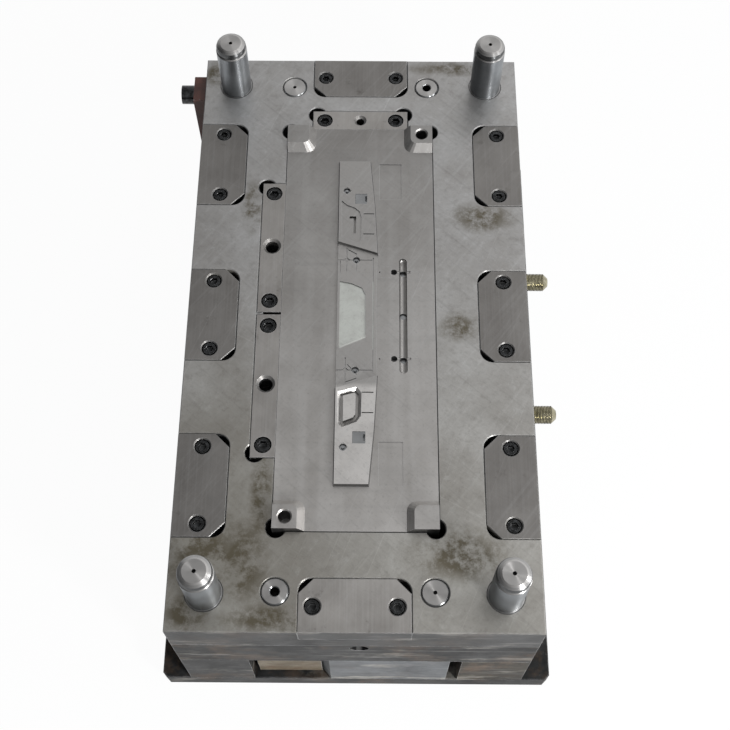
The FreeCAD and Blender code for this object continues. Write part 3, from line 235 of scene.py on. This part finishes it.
    def edge(self, radius, low=0.02, high=0.25):
        """1 along edges, for bright edges that are partly wear and partly painted highlight."""
        bevel, out = self.add("Bevel", samples=4)
        bevel.inputs[0].default_value = radius
        node = self.tree.nodes.new("ShaderNodeVectorMath")
        node.operation = "DOT_PRODUCT"
        self.tree.links.new(out, node.inputs[0])
        self.tree.links.new(self.geometry.outputs["True Normal"], node.inputs[1])
        turned = self.calc("SUBTRACT", 1.0, node.outputs["Value"])
        return self.fade(turned, low, high)

    def bump(self, height, depth, strength=1.0, under=None):
        node, out = self.add("Bump")
        node.inputs["Strength"].default_value = strength
        node.inputs["Distance"].default_value = depth
        self.plug(node.inputs["Height"], height)
        if under is not None:
            self.plug(node.inputs["Normal"], under)
        return out

    def finish(self, colour, rough, metal=1.0, normal=None, **constants):
        self.plug(self.shader.inputs["Base Color"], colour)
        self.plug(self.shader.inputs["Roughness"], rough)
        self.plug(self.shader.inputs["Metallic"], metal)
        if normal is not None:
            self.plug(self.shader.inputs["Normal"], normal)
        for key, value in constants.items():
            self.shader.inputs[key.replace("_", " ")].default_value = value
        return self.mat


def grey(level, warm=0.0):
    """A near-neutral colour; warm above 0 leans to brown, below 0 to blue."""
    return (level * (1 + warm), level, level * (1 - warm), 1.0)


# ================================================================== materials
STAINS = [  # x, y, half width, half length: oil and rust marks on the core plate
    (-0.165, -0.290, 0.036, 0.042), (-0.120, -0.300, 0.024, 0.040), (-0.095, -0.360, 0.038, 0.014),
    (-0.178, -0.355, 0.020, 0.018), (-0.105, -0.215, 0.010, 0.060), (0.118, -0.015, 0.020, 0.016),
    (0.112, -0.290, 0.045, 0.026), (-0.186, 0.352, 0.016, 0.016), (0.120, 0.362, 0.045, 0.010),
    (-0.060, -0.368, 0.022, 0.010), (0.150, 0.135, 0.030, 0.018), (-0.130, 0.150, 0.012, 0.030),
]
OLIVE = (0.115, 0.098, 0.064, 1.0)
BROWN = (0.105, 0.066, 0.040, 1.0)
SCUFF = (0.36, 0.34, 0.30, 1.0)
SCALE_METAL = 0.0       # dark scale on upright faces is matt
SCALE_SHINE = 0.12


def scratched(g, tone, strength=1.0):
    """Two crossing sets of hand-stoning marks and a few longer bright and dark scratches."""
    sets = ((38.0, 260.0, 7.0, 0.54, 0.72, 0.55, grey(0.56)), (-47.0, 300.0, 6.0, 0.56, 0.74, 0.45, grey(0.17, 0.03)),
            (22.0, 620.0, 3.0, 0.66, 0.74, 0.60, grey(0.70)), (-62.0, 540.0, 3.5, 0.68, 0.75, 0.60, grey(0.66)))
    relief = None
    for degrees, across, along, low, high, share, colour in sets:
        lines = g.streaks(degrees, across, along, 2.0, (degrees, 0.0, 0.0))
        tone = g.blend(g.fade(lines, low, high, 0.0, share * strength), tone, colour)
        relief = lines if relief is None else g.calc("ADD", relief, lines)
    return tone, relief


def scuffed_side(g, dark, light, scuff=0.55, rust=0.25):
    """Upright plate faces: dark scale with paler rubs and thin rust."""
    cloud = g.noise(26.0, 6.0, 0.68)
    colour = g.blend(g.fade(cloud, 0.36, 0.66), dark, light)
    rub = g.noise(8.0, 6.0, 0.72, g.place((1.0, 1.0, 3.2), 0.0, (0.13, 0.4, 0.2)))
    colour = g.blend(g.fade(rub, 0.54, 0.64, 0.0, scuff), colour, SCUFF)
    nick = g.noise(1.0, 5.0, 0.8, g.place((60.0, 60.0, 150.0), 0.0, (0.2, 0.5, 0.9)))
    colour = g.blend(g.fade(nick, 0.66, 0.72, 0.0, 0.35), colour, grey(0.50))
    drag = g.noise(1.0, 3.0, 0.6, g.place((9.0, 9.0, 260.0)))
    colour = g.blend(g.fade(drag, 0.60, 0.72, 0.0, 0.35), colour, grey(0.34, 0.02))
    stain = g.noise(19.0, 6.0, 0.7, g.place((1.0, 1.0, 1.0), 0.0, (0.7, 0.1, 0.3)))
    return g.blend(g.fade(stain, 0.50, 0.66, 0.0, rust), colour, BROWN)


def core_plate_steel():
    g = Graph("core_plate_steel")
    cloud = g.noise(8.0, 6.0, 0.66)
    patch = g.noise(26.0, 5.0, 0.7)
    fine = g.noise(210.0, 4.0, 0.75)
    tone = g.blend(g.fade(cloud, 0.34, 0.66), grey(0.36, 0.035), grey(0.49, 0.005))
    tone = g.blend(g.fade(patch, 0.52, 0.72, 0.0, 0.35), tone, grey(0.28, 0.04))
    tone, relief = scratched(g, tone, 0.45)
    worn = g.noise(70.0, 6.0, 0.8, g.place((1.0, 1.0, 1.0), 0.0, (0.3, 0.7, 0.1)))
    tone = g.blend(g.fade(worn, 0.56, 0.70, 0.0, 0.45), tone, grey(0.60, -0.01))
    tone = g.blend(g.fade(worn, 0.46, 0.34, 0.0, 0.40), tone, grey(0.24, 0.05))
    tone = g.blend(g.fade(fine, 0.50, 0.75, 0.0, 0.30), tone, grey(0.22, 0.03))
    aged = g.fade(g.xyz()[1], 0.10, -0.30, 0.0, 0.75)
    tone = g.blend(aged, tone, g.tinted(tone, (1.01, 0.99, 0.92)))
    # A broad olive film over the front left: partly a real oil stain, partly painted shade darkening that corner.
    oil_film_and_painted_shade = g.calc("MULTIPLY", g.spot(-0.150, -0.245, 0.075, 0.150, 0.6), 0.34)
    tone = g.blend(oil_film_and_painted_shade, tone, (0.20, 0.178, 0.132, 1.0))
    stain = None
    for x, y, half_w, half_l in STAINS:
        one = g.spot(x, y, half_w, half_l)
        stain = one if stain is None else g.calc("MAXIMUM", stain, one)
    broken = g.fade(g.noise(34.0, 7.0, 0.78), 0.42, 0.56, 0.15, 0.90)
    stain = g.calc("MULTIPLY", stain, broken)
    tone = g.blend(stain, tone, OLIVE)
    side = scuffed_side(g, grey(0.008, -0.04), grey(0.030, 0.0), 0.32, 0.18)
    up = g.upward()
    colour = g.blend(up, side, tone)
    # Bright edges: partly wear, partly painted highlight.
    colour = g.blend(g.worn_and_painted_highlight_edge(0.0012, 0.90), colour, grey(0.70))
    rough = g.calc("ADD", g.fade(cloud, 0.3, 0.7, 0.34, 0.46), g.calc("MULTIPLY", stain, 0.12))
    metal = g.fade(up, 0.0, 1.0, SCALE_METAL, 0.9)
    normal = g.bump(relief, 0.00005)
    normal = g.bump(g.noise(60.0, 5.0, 0.6), 0.00035, 0.5, normal)
    g.plug(g.shader.inputs["Specular IOR Level"], g.fade(up, 0.0, 1.0, SCALE_SHINE, 0.5))
    return g.finish(colour, rough, metal, normal)


def plate_steel(name="plate_steel", dark=grey(0.008, -0.03), light=grey(0.030, 0.0), scuff=0.34, rust=0.40):
    """Plates under the core plate: dark milled sides, scuffed and a little rusty."""
    g = Graph(name)
    colour = scuffed_side(g, dark, light, scuff, rust)
    # Bright edges: partly wear, partly painted highlight.
    colour = g.blend(g.worn_and_painted_highlight_edge(0.0014, 0.80), colour, grey(0.50))
    rough = g.fade(g.noise(14.0, 6.0, 0.65), 0.3, 0.7, 0.42, 0.60)
    normal = g.bump(g.noise(90.0, 5.0, 0.6), 0.0003, 0.6)
    return g.finish(colour, rough, SCALE_METAL, normal, Specular_IOR_Level=SCALE_SHINE)


def insert_steel():
    g = Graph("insert_steel")
    x, y, z = g.xyz()
    bands = g.noise(1.0, 2.0, 0.5, g.place((55.0, 2.0, 10.0)))
    steps = g.noise(1.0, 2.0, 0.5, g.place((4.0, 95.0, 10.0)))
    cloud = g.noise(10.0, 6.0, 0.65)
    fine = g.noise(300.0, 3.0, 0.75)
    colour = g.blend(g.fade(cloud, 0.34, 0.66), grey(0.29, 0.045), grey(0.385, 0.03))
    colour = g.blend(g.fade(bands, 0.48, 0.70, 0.0, 0.30), colour, grey(0.46, 0.02))
    colour = g.blend(g.fade(steps, 0.52, 0.75, 0.0, 0.20), colour, grey(0.24, 0.03))
    # Lighter towards the front and darker towards the back: a painted sheen across the insert.
    colour = g.scaled(colour, g.fade(y, -0.22, 0.22, 1.42, 0.90))
    on_form = g.calc("MULTIPLY", g.inside(z, PARTING_Z + 0.0002, PARTING_Z + 0.0070, 0.0001), g.inside(x, -0.027, 0.027))
    form = g.blend(g.fade(y, -0.097, -0.090), grey(0.70, 0.03), grey(0.42, 0.03))
    form = g.blend(g.fade(y, 0.082, 0.095), form, grey(0.38, 0.03))
    pad = g.calc("MULTIPLY", g.inside(y, -0.046, 0.044), g.inside(z, PARTING_Z + 0.0002, PARTING_Z + 0.0016, 0.0001))
    form = g.blend(pad, form, (0.68, 0.70, 0.66, 1.0))
    form = g.blend(g.fade(g.noise(34.0, 5.0, 0.7), 0.45, 0.72, 0.0, 0.40), form, grey(0.36, 0.05))
    colour = g.blend(on_form, colour, form)
    colour, relief = scratched(g, colour, 0.30)
    colour = g.blend(g.fade(fine, 0.55, 0.8, 0.0, 0.35), colour, grey(0.17, 0.03))
    colour = g.blend(g.upward(0.30, 0.60), grey(0.12, 0.02), colour)
    # Bright edges: partly wear, partly painted highlight.
    colour = g.blend(g.calc("MULTIPLY", g.edge(0.0009), 0.5), colour, grey(0.75))
    rough = g.fade(cloud, 0.3, 0.7, 0.36, 0.46)
    normal = g.bump(g.calc("ADD", bands, steps), 0.00006)
    normal = g.bump(g.calc("ADD", fine, relief), 0.00004, 0.6, normal)
    return g.finish(colour, rough, 0.92, normal)


def ground_steel(name="ground_steel", lift=1.0):
    """Parting blocks and strips: fine surface grinding, brownish, their outer faces dark."""
    g = Graph(name)
    grind = g.streaks(0.0, 500.0, 9.0)
    cloud = g.noise(11.0, 5.0, 0.65)
    colour = g.blend(g.fade(cloud, 0.35, 0.65), grey(0.190, 0.055), grey(0.255, 0.045))
    colour = g.blend(g.fade(grind, 0.45, 0.75, 0.0, 0.25), colour, grey(0.33, 0.02))
    colour = g.scaled(colour, lift)
    colour, relief = scratched(g, colour, 0.14)
    mark = g.fade(g.noise(38.0, 6.0, 0.75), 0.60, 0.72)
    colour = g.blend(g.calc("MULTIPLY", mark, 0.55), colour, grey(0.10, 0.10))
    colour = g.blend(g.upward(), scuffed_side(g, grey(0.008, -0.04), grey(0.030, 0.0), 0.32, 0.18), colour)
    # Bright edges: partly a worn line, partly painted highlight.
    colour = g.blend(g.calc("MULTIPLY", g.edge(0.0009), 0.7), colour, grey(0.72))
    normal = g.bump(g.calc("ADD", grind, relief), 0.00004)
    metal = g.fade(g.upward(), 0.0, 1.0, SCALE_METAL, 0.9)
    g.plug(g.shader.inputs["Specular IOR Level"], g.fade(g.upward(), 0.0, 1.0, SCALE_SHINE, 0.5))
    return g.finish(colour, g.fade(cloud, 0.3, 0.7, 0.34, 0.46), metal, normal)


def black_screw():
    g = Graph("black_screw")
    cloud = g.noise(300.0, 3.0, 0.6)
    colour = g.blend(g.fade(cloud, 0.35, 0.7), grey(0.020), grey(0.075, -0.04))
    # Bright rims: partly worn bare metal, partly painted highlight.
    colour = g.blend(g.calc("MULTIPLY", g.edge(0.0006, 0.05, 0.3), 0.9), colour, grey(0.62))
    return g.finish(colour, 0.24, 0.9, g.bump(cloud, 0.00005, 0.5))


def polished_pin():
    """Small hardened pins, sleeves and lifter bars: fine round grinding."""
    g = Graph("polished_pin")
    cloud = g.noise(30.0, 4.0, 0.6)
    colour = g.blend(g.fade(cloud, 0.35, 0.65), grey(0.30, -0.02), grey(0.42, -0.02))
    return g.finish(colour, g.fade(cloud, 0.3, 0.7, 0.24, 0.34), 1.0, g.bump(cloud, 0.00003))


def turned_pin():
    """Guide and return pins: ground round the shank, turned across the end, with painted shade inside their holes,
    near the plate and on the guide pins' noses, and end faces painted lighter than the shank.
    """
    g = Graph("turned_pin")
    z = g.xyz()[2]
    box = g.tree.nodes.new("ShaderNodeTexCoord").outputs["Generated"]
    across = g.vector("MULTIPLY", g.vector("SUBTRACT", box, (0.5, 0.5, 0.0)), (1.0, 1.0, 0.0))
    length, _ = g.add("VectorMath", operation="LENGTH")
    g.plug(length.inputs[0], across)
    near_axis = g.fade(length.outputs["Value"], PIN_HOLE + 0.01, PIN_HOLE)
    cloud = g.noise(30.0, 4.0, 0.6)
    rings = g.noise(1.0, 2.0, 0.5, g.place((4.0, 4.0, 900.0)))
    upright = g.upward(0.9, 0.6)
    # The end face is painted lighter than the shank of the same steel: painted light.
    shank = g.blend(g.fade(cloud, 0.35, 0.65), grey(0.22, -0.05), grey(0.30, -0.05))
    face = g.blend(g.fade(cloud, 0.35, 0.65), grey(0.40, 0.02), grey(0.50, 0.02))
    colour = g.blend(upright, face, shank)
    # Painted shade on the shank near the plate and on the guide pins' rounded noses.
    low = g.inside(z, PARTING_Z, PARTING_Z + 0.016, 0.014)
    nose = g.inside(z, PIN_TOP - NOSE_LENGTH, PIN_TOP + MM, 0.4 * MM)
    painted_shade = g.calc("MAXIMUM", g.calc("MULTIPLY", low, 0.45), g.calc("MULTIPLY", nose, 0.80))
    colour = g.blend(g.calc("MULTIPLY", painted_shade, upright), colour, grey(0.09, 0.0))
    # Painted shade inside the drilled end holes and the tapped holes below the parting face.
    drilled = g.fade(z, PIN_TOP - 0.3 * MM, PIN_TOP - 0.8 * MM)
    above = g.fade(z, PARTING_Z + 0.5 * MM, PARTING_Z + 1.0 * MM)
    tapped = g.fade(z, PARTING_Z - 0.8 * MM, PARTING_Z - 1.6 * MM)
    hole = g.calc("MAXIMUM", g.calc("MULTIPLY", drilled, above), tapped)
    colour = g.blend(g.calc("MULTIPLY", hole, near_axis), colour, grey(0.02))
    g.turned_finish(0.85)
    return g.finish(colour, g.fade(cloud, 0.3, 0.7, 0.30, 0.38), 1.0, g.bump(rings, 0.00003))


def guide_bronze():
    g = Graph("guide_bronze")
    cloud = g.noise(60.0, 4.0, 0.6)
    colour = g.blend(g.fade(cloud, 0.35, 0.65), (0.45, 0.27, 0.10, 1.0), (0.62, 0.40, 0.17, 1.0))
    return g.finish(colour, 0.34, 1.0, g.bump(cloud, 0.0001, 0.4))


def yellow_plating():
    g = Graph("yellow_plating")
    cloud = g.noise(70.0, 4.0, 0.6)
    colour = g.blend(g.fade(cloud, 0.35, 0.65), (0.30, 0.275, 0.18, 1.0), (0.50, 0.47, 0.35, 1.0))
    colour = g.blend(g.fade(g.noise(160.0, 4.0, 0.7), 0.52, 0.68, 0.0, 0.6), colour, grey(0.13, 0.1))
    return g.finish(colour, g.fade(cloud, 0.3, 0.7, 0.20, 0.34), 1.0, g.bump(cloud, 0.0001, 0.3))


def strap_paint():
    g = Graph("strap_paint")
    cloud = g.noise(40.0, 5.0, 0.65)
    colour = g.blend(g.fade(cloud, 0.35, 0.65), (0.05, 0.018, 0.014, 1.0), (0.10, 0.038, 0.028, 1.0))
    chip = g.fade(g.noise(90.0, 5.0, 0.75), 0.66, 0.70)
    colour = g.blend(g.calc("MULTIPLY", chip, 0.8), colour, grey(0.25))
    return g.finish(colour, 0.5, 0.0, g.bump(cloud, 0.0003, 0.5))


MAKERS = {
    "plate_steel": plate_steel, "core_plate_steel": core_plate_steel, "insert_steel": insert_steel,
    "ground_steel": ground_steel, "black_screw": black_screw, "polished_pin": polished_pin,
    "guide_bronze": guide_bronze, "yellow_plating": yellow_plating, "strap_paint": strap_paint,
}
FINISH = {slot: maker() for slot, maker in MAKERS.items()}
SLOT_OF = {part["node"]: part["material_slot"] for part in frame["record"]["subparts"]}


def dress(obj, material):
    obj.data.materials.clear()
    obj.data.materials.append(material)


def dress_frame():
    for name, obj in NODES.items():
        dress(obj, FINISH[SLOT_OF[name]])
    # Brown rust on the ejector plates, with painted light: their colour is far lighter than other plate sides,
    # standing in for light in the stroke space.
    rust_and_painted_light_steel = plate_steel("plate_steel_rust_and_painted_light", (0.10, 0.080, 0.055, 1.0), (0.20, 0.17, 0.125, 1.0), 0.25, 0.75)
    for name in ("ejector_retainer_plate", "ejector_base_plate"):
        dress(NODES[name], rust_and_painted_light_steel)
    # Front support block: more scuffs, and a paler bluish colour that is a painted sheen.
    pale = plate_steel("plate_steel_scuffed_with_painted_sheen", grey(0.065, -0.05), grey(0.130, -0.05), 0.60, 0.12)
    dress(NODES["front_support_block"], pale)
    brown = plate_steel("plate_steel_brown", (0.013, 0.011, 0.008, 1.0), (0.040, 0.034, 0.025, 1.0), 0.32, 0.55)
    dress(NODES["spacer_block_right"], brown)
    turned = turned_pin()
    for name in NODES:
        if name.startswith(("guide_pin_", "return_pin_")):
            dress(NODES[name], turned)
    strip = ground_steel("ground_steel_strip", 1.55)
    for name in ("wedge_strip_back", "wedge_strip_side_rear", "wedge_strip_side_front"):
        dress(NODES[name], strip)
    dress(NODES["parting_block_front"], ground_steel("ground_steel_light", 1.70))


# ================================================================== pieces
def islands(obj):
    """(lowest, highest) corner of each separate solid in a node's mesh."""
    bm = bmesh.new()
    bm.from_mesh(obj.data)
    bmesh.ops.remove_doubles(bm, verts=bm.verts, dist=1e-6)
    boxes = []
    seen = set()
    for start in bm.verts:
        if start.index in seen:
            continue
        stack = [start]
        seen.add(start.index)
        points = []
        while stack:
            vert = stack.pop()
            points.append(vert.co.copy())
            for edge in vert.link_edges:
                other = edge.other_vert(vert)
                if other.index not in seen:
                    seen.add(other.index)
                    stack.append(other)
        lo = Vector([min(p[i] for p in points) for i in range(3)])
        hi = Vector([max(p[i] for p in points) for i in range(3)])
        boxes.append((lo, hi))
    bm.free()
    return boxes


def ring(bm, centre, radii, z):
    """One closed ring of vertices, a radius for each step round."""
    count = len(radii)
    verts = []
    for i, r in enumerate(radii):
        a = 2 * math.pi * i / count
        verts.append(bm.verts.new((centre.x + r * math.cos(a), centre.y + r * math.sin(a), z)))
    return verts


def skin(bm, rings):
    """Quads between rings of equal count, closed at both ends."""
    for low, high in zip(rings, rings[1:]):
        count = len(low)
        for i in range(count):
            j = (i + 1) % count
            bm.faces.new((low[i], low[j], high[j], high[i]))
    bm.faces.new(list(reversed(rings[0])))
    bm.faces.new(rings[-1])


def tube(bm, rings):
    """Quads between rings of equal count, the last joined to the first, so that the middle stays open."""
    for low, high in zip(rings, rings[1:] + rings[:1]):
        count = len(low)
        for i in range(count):
            j = (i + 1) % count
            bm.faces.new((low[i], low[j], high[j], high[i]))


def to_object(bm, name, material, smooth=40.0):
    bmesh.ops.recalc_face_normals(bm, faces=bm.faces)
    mesh = bpy.data.meshes.new(name)
    bm.to_mesh(mesh)
    bm.free()
    mesh.shade_smooth()
    mesh.set_sharp_from_angle(angle=math.radians(smooth))
    obj = bpy.data.objects.new(name, mesh)
    bpy.context.scene.collection.objects.link(obj)
    dress(obj, material)
    return obj


KNURLS = 30
RING_STEPS = 2 * KNURLS


def hex_radius(flat_half, i):
    """Radius to a hexagon's side at one step round a ring."""
    a = math.degrees(2 * math.pi * i / RING_STEPS) % 60 - 30
    return flat_half / math.cos(math.radians(a))


def cap_screw(bm, centre, top, low, head_r, head_h, shank_r, socket):
    """Socket cap screw with a knurled head and a hexagon socket."""
    plain = [head_r] * RING_STEPS
    knurled = [head_r - 0.35 * MM * (i % 2) for i in range(RING_STEPS)]
    hexagon = [hex_radius(socket, i) for i in range(RING_STEPS)]
    inward = [r + 0.35 * MM for r in hexagon]
    rings = [
        ring(bm, centre, [shank_r] * RING_STEPS, low),
        ring(bm, centre, [shank_r] * RING_STEPS, top - head_h),
        ring(bm, centre, [head_r - 0.4 * MM] * RING_STEPS, top - head_h),
        ring(bm, centre, knurled, top - head_h + 0.4 * MM),
        ring(bm, centre, knurled, top - 1.6 * MM),
        ring(bm, centre, plain, top - 1.2 * MM),
        ring(bm, centre, plain, top - 0.8 * MM),
        ring(bm, centre, [head_r - 0.7 * MM] * RING_STEPS, top),
        ring(bm, centre, inward, top),
        ring(bm, centre, hexagon, top - 0.4 * MM),
        ring(bm, centre, hexagon, top - 0.55 * head_h),
        ring(bm, centre, [socket * 0.5] * RING_STEPS, top - 0.62 * head_h),
    ]
    skin(bm, rings)


SCREWS = {  # node: head radius, head height, shank radius, half the socket's width
    "parting_block_screws": (8.0 * MM, 10.0 * MM, 5.0 * MM, 4.0 * MM),
    "wedge_strip_screws": (9.0 * MM, 12.0 * MM, 6.0 * MM, 5.0 * MM),
}


def cap_screws():
    for node, (head_r, head_h, shank_r, socket) in SCREWS.items():
        bm = bmesh.new()
        for lo, hi in islands(NODES[node]):
            cap_screw(bm, (lo + hi) / 2, hi.z, lo.z, head_r, head_h, shank_r, socket)
        obj = to_object(bm, node + "_detailed", FINISH["black_screw"])
        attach(obj, "mould_half")
        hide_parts(node)


THREAD_PITCH = 1.8 * MM
THREAD_CREST = 10.9 * MM
THREAD_ROOT = 10.2 * MM
THREAD_INSIDE = 9.0 * MM    # inside the fitting's wall, clear of its water way
FITTING_HEX = 9.0 * MM
FITTING_CONE = 5.0 * MM
THREAD_STEPS = 48


def thread_sleeves():
    """Crests of the outer thread on each hose fitting, between its hexagon and its coned mouth."""
    for node in ("water_fitting_front", "water_fitting_rear"):
        lo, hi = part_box(node)
        start = PLATE_HIGH.x + FITTING_HEX + THREAD_PITCH
        turns = int((hi.x - FITTING_CONE - start) / THREAD_PITCH)
        end = start + turns * THREAD_PITCH
        profile = [(start, THREAD_INSIDE)]
        for i in range(2 * turns + 1):
            profile.append((start + i * THREAD_PITCH / 2, THREAD_CREST if i % 2 else THREAD_ROOT))
        profile.append((end, THREAD_INSIDE))
        bm = bmesh.new()
        rings = []
        for x, r in profile:
            rings.append([bm.verts.new((x, (lo.y + hi.y) / 2 + r * math.cos(a), (lo.z + hi.z) / 2 + r * math.sin(a)))
                          for a in [2 * math.pi * k / THREAD_STEPS for k in range(THREAD_STEPS)]])
        tube(bm, rings)
        obj = to_object(bm, node + "_thread", FINISH["yellow_plating"], 20.0)
        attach(obj, "mould_half")


# ================================================================== studio
def lamp(name, at, aim, size, power):
    data = bpy.data.lights.new(name, "AREA")
    data.shape = "RECTANGLE"
    data.size, data.size_y = size
    data.energy = power
    obj = bpy.data.objects.new(name, data)
    obj.location = at
    obj.rotation_euler = (Vector(aim) - Vector(at)).to_track_quat("-Z", "Y").to_euler()
    bpy.context.scene.collection.objects.link(obj)
    return obj


def card(name, corners, level):
    """A grey card that only shades reflections and soft light, unseen by the camera."""
    mesh = bpy.data.meshes.new(name)
    mesh.from_pydata(corners, [], [(0, 1, 2, 3)])
    obj = bpy.data.objects.new(name, mesh)
    bpy.context.scene.collection.objects.link(obj)
    g = Graph(name)
    g.finish(grey(level), 1.0, 0.0)
    dress(obj, g.mat)
    obj.visible_camera = False
    obj.visible_shadow = False
    return obj


def white_to_rays(tree):
    """Camera, glossy and transmission rays see plain white; the others get the shaded one."""
    path = tree.nodes.new("ShaderNodeLightPath")
    share = path.outputs["Is Camera Ray"]
    for ray in ("Is Glossy Ray", "Is Transmission Ray"):
        more = tree.nodes.new("ShaderNodeMath")
        more.operation = "MAXIMUM"
        tree.links.new(share, more.inputs[0])
        tree.links.new(path.outputs[ray], more.inputs[1])
        share = more.outputs[0]
    return share


def floor():
    half = 6.0
    mesh = bpy.data.meshes.new("floor")
    z = cad_box[0].z
    mesh.from_pydata([(-half, -half, z), (half, -half, z), (half, half, z), (-half, half, z)], [], [(0, 1, 2, 3)])
    obj = bpy.data.objects.new("floor", mesh)
    bpy.context.scene.collection.objects.link(obj)
    g = Graph("floor_white")
    g.finish(grey(0.85), 0.9, 0.0)
    g.shader.inputs["Specular IOR Level"].default_value = 0.0
    glow = g.tree.nodes.new("ShaderNodeEmission")
    glow.inputs[1].default_value = 1.0
    mix = g.tree.nodes.new("ShaderNodeMixShader")
    share = white_to_rays(g.tree)
    most = g.calc("MULTIPLY", share, FLOOR_WHITE)
    g.tree.links.new(most, mix.inputs[0])
    g.tree.links.new(g.shader.outputs[0], mix.inputs[1])
    g.tree.links.new(glow.outputs[0], mix.inputs[2])
    g.tree.links.new(mix.outputs[0], g.out.inputs[0])
    dress(obj, g.mat)
    return obj


def world():
    w = bpy.data.worlds.new("studio")
    bpy.context.scene.world = w
    w.use_nodes = True
    tree = w.node_tree
    tree.nodes.clear()
    out = tree.nodes.new("ShaderNodeOutputWorld")
    soft = tree.nodes.new("ShaderNodeBackground")
    soft.inputs[0].default_value = (0.92, 0.96, 1.0, 1.0)
    soft.inputs[1].default_value = 0.55
    way = tree.nodes.new("ShaderNodeTexCoord")
    parts = tree.nodes.new("ShaderNodeSeparateXYZ")
    tree.links.new(way.outputs["Generated"], parts.inputs[0])
    sky = tree.nodes.new("ShaderNodeMapRange")
    tree.links.new(parts.outputs[2], sky.inputs[0])
    sky.inputs[1].default_value = 0.45
    sky.inputs[2].default_value = 1.0
    sky.inputs[3].default_value = 1.0
    sky.inputs[4].default_value = 0.42
    toward = tree.nodes.new("ShaderNodeVectorMath")
    toward.operation = "DOT_PRODUCT"
    tree.links.new(way.outputs["Generated"], toward.inputs[0])
    toward.inputs[1].default_value = BRIGHT_SIDE
    side = tree.nodes.new("ShaderNodeMapRange")
    tree.links.new(toward.outputs["Value"], side.inputs[0])
    side.inputs[1].default_value = -0.4
    side.inputs[2].default_value = 0.5
    side.inputs[3].default_value = 0.12
    side.inputs[4].default_value = 1.0
    height = tree.nodes.new("ShaderNodeMapRange")
    tree.links.new(parts.outputs[2], height.inputs[0])
    height.inputs[1].default_value = 0.25
    height.inputs[2].default_value = 0.70
    tree.links.new(side.outputs[0], height.inputs[3])
    height.inputs[4].default_value = 1.0
    slant = tree.nodes.new("ShaderNodeMath")
    slant.operation = "MULTIPLY_ADD"
    tree.links.new(parts.outputs[0], slant.inputs[0])
    high = tree.nodes.new("ShaderNodeMapRange")
    tree.links.new(parts.outputs[2], high.inputs[0])
    high.inputs[1].default_value = 0.3
    high.inputs[2].default_value = 0.7
    high.inputs[3].default_value = 0.0
    high.inputs[4].default_value = SKY_TO_RIGHT
    tree.links.new(high.outputs[0], slant.inputs[1])
    slant.inputs[2].default_value = 1.0
    both = tree.nodes.new("ShaderNodeMath")
    both.operation = "MULTIPLY"
    low = tree.nodes.new("ShaderNodeMath")
    low.operation = "MULTIPLY"
    tree.links.new(sky.outputs[0], low.inputs[0])
    tree.links.new(height.outputs[0], low.inputs[1])
    tree.links.new(low.outputs[0], both.inputs[0])
    tree.links.new(slant.outputs[0], both.inputs[1])
    lit = tree.nodes.new("ShaderNodeBackground")
    tree.links.new(both.outputs[0], lit.inputs[1])
    lit.inputs[0].default_value = (1.0, 1.0, 1.0, 1.0)
    plain = tree.nodes.new("ShaderNodeBackground")
    plain.inputs[0].default_value = (1.0, 1.0, 1.0, 1.0)
    seen = tree.nodes.new("ShaderNodeMixShader")
    tree.links.new(tree.nodes.new("ShaderNodeLightPath").outputs["Is Camera Ray"], seen.inputs[0])
    tree.links.new(lit.outputs[0], seen.inputs[1])
    tree.links.new(plain.outputs[0], seen.inputs[2])
    mix = tree.nodes.new("ShaderNodeMixShader")
    tree.links.new(white_to_rays(tree), mix.inputs[0])
    tree.links.new(soft.outputs[0], mix.inputs[1])
    tree.links.new(seen.outputs[0], mix.inputs[2])
    tree.links.new(mix.outputs[0], out.inputs[0])


def studio():
    world()
    floor()
    lamp("key_right", (1.9, -0.4, 1.1), (0.0, 0.0, 0.25), (0.5, 0.9), 12.0)
    lamp("key_front_right", (1.15, -1.45, 0.95), (0.0, 0.0, 0.25), (0.30, 0.40), 38.0)
    card("flag_left", [(-1.9, -1.6, 0.0), (-1.9, 1.4, 0.0), (-1.9, 1.4, 1.9), (-1.9, -1.6, 1.9)], 0.12)
    card("flag_front", [(-1.6, -2.2, 0.0), (1.4, -2.2, 0.0), (1.4, -2.2, 0.9), (-1.6, -2.2, 0.9)], 0.12)


def camera():
    data = bpy.data.cameras.new("camera")
    data.lens = 60.46
    data.sensor_width = 36.0
    data.clip_end = 50.0
    obj = bpy.data.objects.new("camera", data)
    obj.location = (0.013993, -0.674617, 1.538120)
    obj.rotation_euler = (0.44660675, 0.00052035, 0.00771313)
    bpy.context.scene.collection.objects.link(obj)
    bpy.context.scene.camera = obj
    bpy.context.scene.view_settings.view_transform = "Standard"


camera()
dress_frame()
cap_screws()
thread_sleeves()
studio()
